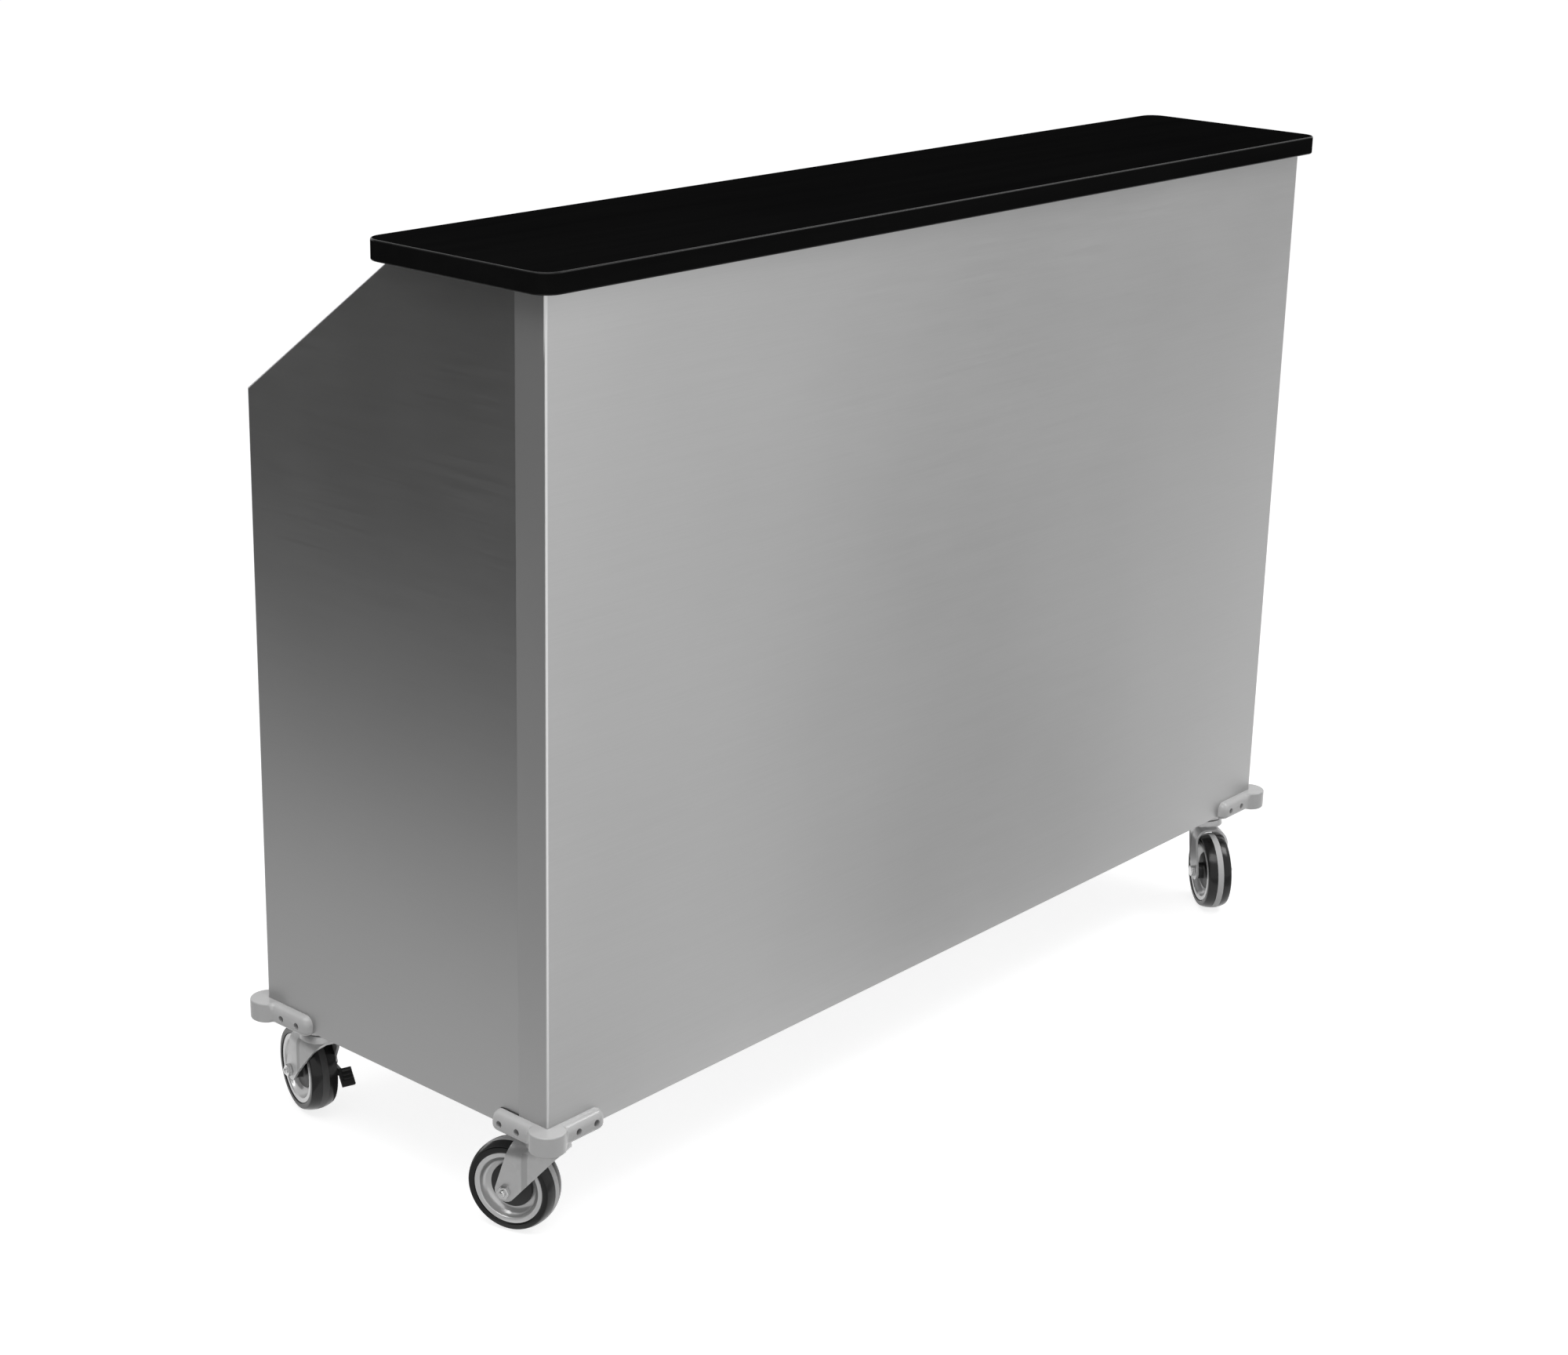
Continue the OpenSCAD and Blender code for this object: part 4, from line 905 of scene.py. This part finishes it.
def buildFork(s):
    out = s["legIn"] + s["forkSheet"]
    axle = Vector((0, s["trail"], s["wheelRadius"]))
    bm = forkBlank(s, out, axle)
    pressCrease(bm, s, out)
    bmesh.ops.recalc_face_normals(bm, faces=bm.faces)
    crownFrom = (s["crownZ"] - s["crownNear"]) * mm
    if sum(face.normal.z for face in bm.faces if face.calc_center_median().z > crownFrom) < 0:
        bmesh.ops.reverse_faces(bm, faces=bm.faces)
    bmesh.ops.solidify(bm, geom=bm.faces[:], thickness=s["forkSheet"] * mm)
    bmesh.ops.recalc_face_normals(bm, faces=bm.faces)
    easeEdges(bm, s["forkEdge"], angle=s["forkAngle"], shortest=s["forkLeast"])
    under, over = s["crownZ"] - s["kingBelow"], s["crownZ"] + s["kingAbove"]
    cutter = rod(s["kingHole"], (0, 0, under), (0, 0, over), s["kingSides"])
    past = out + s["studPast"]
    addIn(cutter, rod(s["studRadius"] + s["studPlay"], (-past, axle.y, axle.z), (past, axle.y, axle.z)))
    bm = carved(bm, cutter)
    addIn(bm, bearingCup(s))
    # faces in the crease groove take the second slot, a darker zinc that paints the crease's shade
    for face in bm.faces:
        spot = face.calc_center_median() / mm
        inCrease = abs(spot.y - s["crease"]) < s["creaseWidth"] and spot.z < s["crownZ"] - s["forkBend"] / 2
        face.material_index = int(inCrease and abs(spot.x) > s["legIn"] - s["creaseDepth"])
    return bm


def buildAxle(s, braked):
    out = s["legIn"] + s["forkSheet"]
    bm = bmesh.new()
    nutEnd = out + s["nutHeight"]
    tip = nutEnd + s["studTip"]
    headAt = s["pedalHead"] if braked else out
    headEnd = headAt + s["nutHeight"]
    shank, end, axis, ease = s["studRadius"], s["tipRadius"], s["axisGap"], s["tipEdge"]
    step, cap = -nutEnd + s["nutLap"], headEnd - s["headSink"]
    addIn(bm, turned([(axis, -tip), (end - ease, -tip), (end, -tip + ease), (end, step), (shank, step),
                      (shank, headEnd - s["shankEdge"]), (shank - s["shankEase"], cap), (axis, cap)],
                     s["studSides"]))
    addIn(bm, hexNut(s, headAt + s["nutHeight"] / 2))
    addIn(bm, hexNut(s, s["nutHeight"] / 2 - nutEnd))
    return placed(bm, Matrix.Translation((0, s["trail"] * mm, s["wheelRadius"] * mm)))


# brake pedal: eased copy of the lever, with ribs across its tread
pedalSet = {"edge": 1.0, "edgeSteps": 3, "shortest": 0.8, "root": (0, 9.0, 54.0), "tip": (0, -5.0, 38.0),
            "lift": 2.4, "ribs": (4.5, 9.0, 13.5), "ribRadius": 1.1, "ribEnds": (25.5, 36.5), "ribSides": 12,
            "ribEdge": 0.4}


def buildPedal(corner, seat, s):
    bm = copyOf(corner + "_pedal")
    easeEdges(bm, s["edge"], s["edgeSteps"], shortest=s["shortest"])
    root, tip = Vector(s["root"]), Vector(s["tip"])
    way = (tip - root).normalized()
    face = Vector((0, way.z, -way.y))
    for along in s["ribs"]:
        middle = root + way * along + face * s["lift"]
        start, end = (middle + Vector((x, 0, 0)) for x in s["ribEnds"])
        rib = rod(s["ribRadius"], start, end, s["ribSides"])
        easeEdges(rib, s["ribEdge"])
        addIn(bm, placed(rib, seat))
    return bm


def buildCaster(corner, s):
    swivel = jointOf[corner + "_swivel_turn"]["pos_m"]
    axis = jointOf[corner + "_wheel_spin"]["axis"]
    braked = corner.startswith("rear")
    facing = Matrix.Rotation(math.atan2(axis[1], axis[0]), 4, "Z")
    seat = Matrix.Translation((swivel[0], swivel[1], 0)) @ facing
    wheelSeat = seat @ Matrix.Translation((0, s["trail"] * mm, s["wheelRadius"] * mm))
    name = camelName(corner)
    tyre = turned(tyreOutline, s["wheelSides"])
    # the middle band of each tread takes the second slot, a painted highlight band in front and a painted shade
    # band at the rear
    for face in tyre.faces:
        face.material_index = int(max(abs(vert.co.x) for vert in face.verts) < s["bandHalfWidth"] * mm)
    rim, hub = turned(rimOutline, s["wheelSides"]), turned(hubOutline, s["hubSides"])
    tread = paintedTreadShade if braked else paintedTreadHighlight
    dress(name + "Tyre", placed(tyre, wheelSeat), tyreBlack, corner + "_tyre", sharp=60, more=(tread,))
    dress(name + "Rim", placed(rim, wheelSeat), rimGrey, corner + "_rim", sharp=50)
    dress(name + "Hub", placed(hub, wheelSeat), hubBlack, corner + "_hub", sharp=50)
    dress(name + "Fork", placed(buildFork(s), seat), zincPlate, corner + "_fork", more=(paintedCreaseShade,))
    dress(name + "Axle", placed(buildAxle(s, braked), seat), brightSteel, corner + "_axle")
    if braked:
        dress(name + "Pedal", buildPedal(corner, seat, pedalSet), pedalBlack, corner + "_pedal")


for corner in cornerNames:
    buildCaster(corner, casterSet)
print("casters built")

# studio: pale floor, soft lamps, and cards that only reflections see
studioSet = {"floorTone": 0.5, "floorLift": 0.80, "floorSize": 30, "floorGrid": 8, "ambient": 0.42}


# 1 for rays that come from the camera, a reflection or glass
def rayMix(tree):
    path = addNode(tree, "ShaderNodeLightPath")
    first = addNode(tree, "ShaderNodeMath", operation="MAXIMUM")
    second = addNode(tree, "ShaderNodeMath", operation="MAXIMUM")
    link(tree, path.outputs["Is Camera Ray"], first.inputs[0])
    link(tree, path.outputs["Is Glossy Ray"], first.inputs[1])
    link(tree, first.outputs[0], second.inputs[0])
    link(tree, path.outputs["Is Transmission Ray"], second.inputs[1])
    return second.outputs[0]


def barePaint(name):
    paint = bpy.data.materials.new(name)
    paint.use_nodes = True
    tree = paint.node_tree
    tree.nodes.remove(tree.nodes["Principled BSDF"])
    return paint, tree, tree.nodes["Material Output"].inputs["Surface"]


def stageObject(name, bm, paint):
    mesh = bpy.data.meshes.new(name)
    bm.to_mesh(mesh)
    bm.free()
    mesh.materials.append(paint)
    item = bpy.data.objects.new(name, mesh)
    scene.collection.objects.link(item)
    return item


def buildFloor(s):
    bm = bmesh.new()
    bmesh.ops.create_grid(bm, x_segments=s["floorGrid"], y_segments=s["floorGrid"], size=s["floorSize"])
    paint, tree, surface = barePaint("floorPaint")
    matt = addNode(tree, "ShaderNodeBsdfDiffuse")
    matt.inputs["Color"].default_value = (s["floorTone"],) * 3 + (1,)
    glow = addNode(tree, "ShaderNodeEmission")
    lift = addNode(tree, "ShaderNodeMath", operation="MULTIPLY")
    lift.inputs[1].default_value = s["floorLift"]
    link(tree, rayMix(tree), lift.inputs[0])
    link(tree, lift.outputs[0], glow.inputs["Strength"])
    both = addNode(tree, "ShaderNodeAddShader")
    link(tree, matt.outputs[0], both.inputs[0])
    link(tree, glow.outputs[0], both.inputs[1])
    link(tree, both.outputs[0], surface)
    floor = stageObject("studioFloor", bm, paint)


def buildWorld(s):
    world = bpy.data.worlds.new("studioAir")
    scene.world = world
    world.use_nodes = True
    tree = world.node_tree
    soft = tree.nodes["Background"]
    soft.inputs["Color"].default_value = (1, 1, 1, 1)
    soft.inputs["Strength"].default_value = s["ambient"]
    white = addNode(tree, "ShaderNodeBackground")
    white.inputs["Color"].default_value = (1, 1, 1, 1)
    white.inputs["Strength"].default_value = 1.0
    either = addNode(tree, "ShaderNodeMixShader")
    link(tree, rayMix(tree), either.inputs[0])
    link(tree, soft.outputs[0], either.inputs[1])
    link(tree, white.outputs[0], either.inputs[2])
    link(tree, either.outputs[0], tree.nodes["World Output"].inputs["Surface"])


lampSet = {
    "keyBox": {"place": (2.3, -1.6, 2.9), "aim": (0, 0, 0.7), "size": (1.3, 1.0), "power": 28},
    "topBox": {"place": (-1.4, -0.6, 3.2), "aim": (-0.4, 0, 0.3), "size": (3.2, 1.6), "power": 54},
}


def buildLamp(name, s):
    data = bpy.data.lights.new(name, "AREA")
    data.shape = "RECTANGLE"
    data.size, data.size_y = s["size"]
    data.energy = s["power"]
    lamp = bpy.data.objects.new(name, data)
    scene.collection.objects.link(lamp)
    lamp.location = s["place"]
    lamp.rotation_euler = (Vector(s["aim"]) - Vector(s["place"])).to_track_quat("-Z", "Y").to_euler()


# cards that only reflections see: four corners, then stops of (share of u, brightness)
# along the near and the far side
cardGrid = 24
cardSet = {
    "frontCard": {"corners": ((-0.81, -0.337, 0.004), (1.42, -0.337, 0.004),
                              (9.6, -4.32, 0.004), (2.5, -4.32, 0.004)),
                  "near": ((0.11, 0.7), (0.23, 0.8), (0.42, 0.53), (0.53, 0.56), (0.69, 0.82), (0.84, 0.95)),
                  "far": ((0.12, 1.0), (0.18, 1.0), (0.31, 0.26), (0.44, 0.28), (0.6, 0.44), (0.72, 0.4)),
                  "blend": (0.3, 0.8)},
    "frontFlag": {"corners": ((2.0, -4.4, 0.0), (12.0, -4.4, 0.0), (12.0, -4.4, 3.2), (2.0, -4.4, 3.2)),
                  "near": ((0.0, 1.0), (0.2, 1.0), (0.4, 0.34), (1.0, 0.34)),
                  "far": ((0.0, 1.0), (0.2, 1.0), (0.4, 0.34), (1.0, 0.34))},
    "endCard": {"corners": ((-0.672, -0.7, 0.004), (-4.67, 0.4, 0.004),
                            (-4.67, 9.0, 0.004), (-0.672, 0.9, 0.004)),
                "near": ((0.02, 0.68), (0.13, 0.64), (0.2, 0.4), (0.28, 0.17), (0.36, 0.06)),
                "far": ((0.02, 0.58), (0.13, 0.54), (0.2, 0.34), (0.28, 0.14), (0.36, 0.05))},
    "endFlag": {"corners": ((-4.6, -1.0, 0.0), (-4.6, 9.5, 0.0), (-4.6, 9.5, 6.0), (-4.6, -1.0, 6.0)),
                "near": ((0.0, 0.03), (1.0, 0.03)), "far": ((0.0, 0.06), (1.0, 0.06))},
    "underShade": {"corners": ((-0.6, -0.06, 0.003), (0.78, -0.06, 0.003),
                               (0.78, 0.6, 0.003), (-0.6, 0.6, 0.003)),
                   "near": ((0.0, 0.16), (1.0, 0.16)), "far": ((0.0, 0.08), (1.0, 0.08))},
}


def buildCard(name, s):
    bm = bmesh.new()
    reach = bm.loops.layers.uv.new("reach")
    bmesh.ops.create_grid(bm, x_segments=cardGrid, y_segments=cardGrid, size=0.5, calc_uvs=True)
    a, b, c, d = (Vector(corner) for corner in s["corners"])
    for vert in bm.verts:
        u, v = vert.co.x + 0.5, vert.co.y + 0.5
        for loop in vert.link_loops:
            loop[reach].uv = (u, v)
        vert.co = a.lerp(b, u).lerp(d.lerp(c, u), v)
    paint, tree, surface = barePaint(name + "Paint")
    parts = addNode(tree, "ShaderNodeSeparateXYZ")
    link(tree, addNode(tree, "ShaderNodeUVMap", uv_map="reach").outputs[0], parts.inputs[0])
    mixed = addNode(tree, "ShaderNodeMix", data_type="RGBA")
    for socket, side in (("A", "near"), ("B", "far")):
        ramp = addNode(tree, "ShaderNodeValToRGB")
        ramp.color_ramp.interpolation = "EASE"
        stops = ramp.color_ramp.elements
        while len(stops) < len(s[side]):
            stops.new(0.5)
        for stop, (share, level) in zip(stops, s[side]):
            stop.position = share
            stop.color = (level, level, level, 1)
        link(tree, parts.outputs["X"], ramp.inputs[0])
        link(tree, ramp.outputs[0], mixed.inputs[socket])
    link(tree, spread(tree, parts.outputs["Y"], 0, 1, *s.get("blend", (0, 1))), mixed.inputs["Factor"])
    glow = addNode(tree, "ShaderNodeEmission")
    link(tree, mixed.outputs["Result"], glow.inputs["Color"])
    link(tree, glow.outputs[0], surface)
    card = stageObject(name, bm, paint)
    card.visible_camera = False
    card.visible_diffuse = False
    card.visible_transmission = False
    card.visible_shadow = False


for cardName, cardRow in cardSet.items():
    buildCard(cardName, cardRow)
buildFloor(studioSet)
buildWorld(studioSet)
for lampName, lampRow in lampSet.items():
    buildLamp(lampName, lampRow)
print("studio lit")
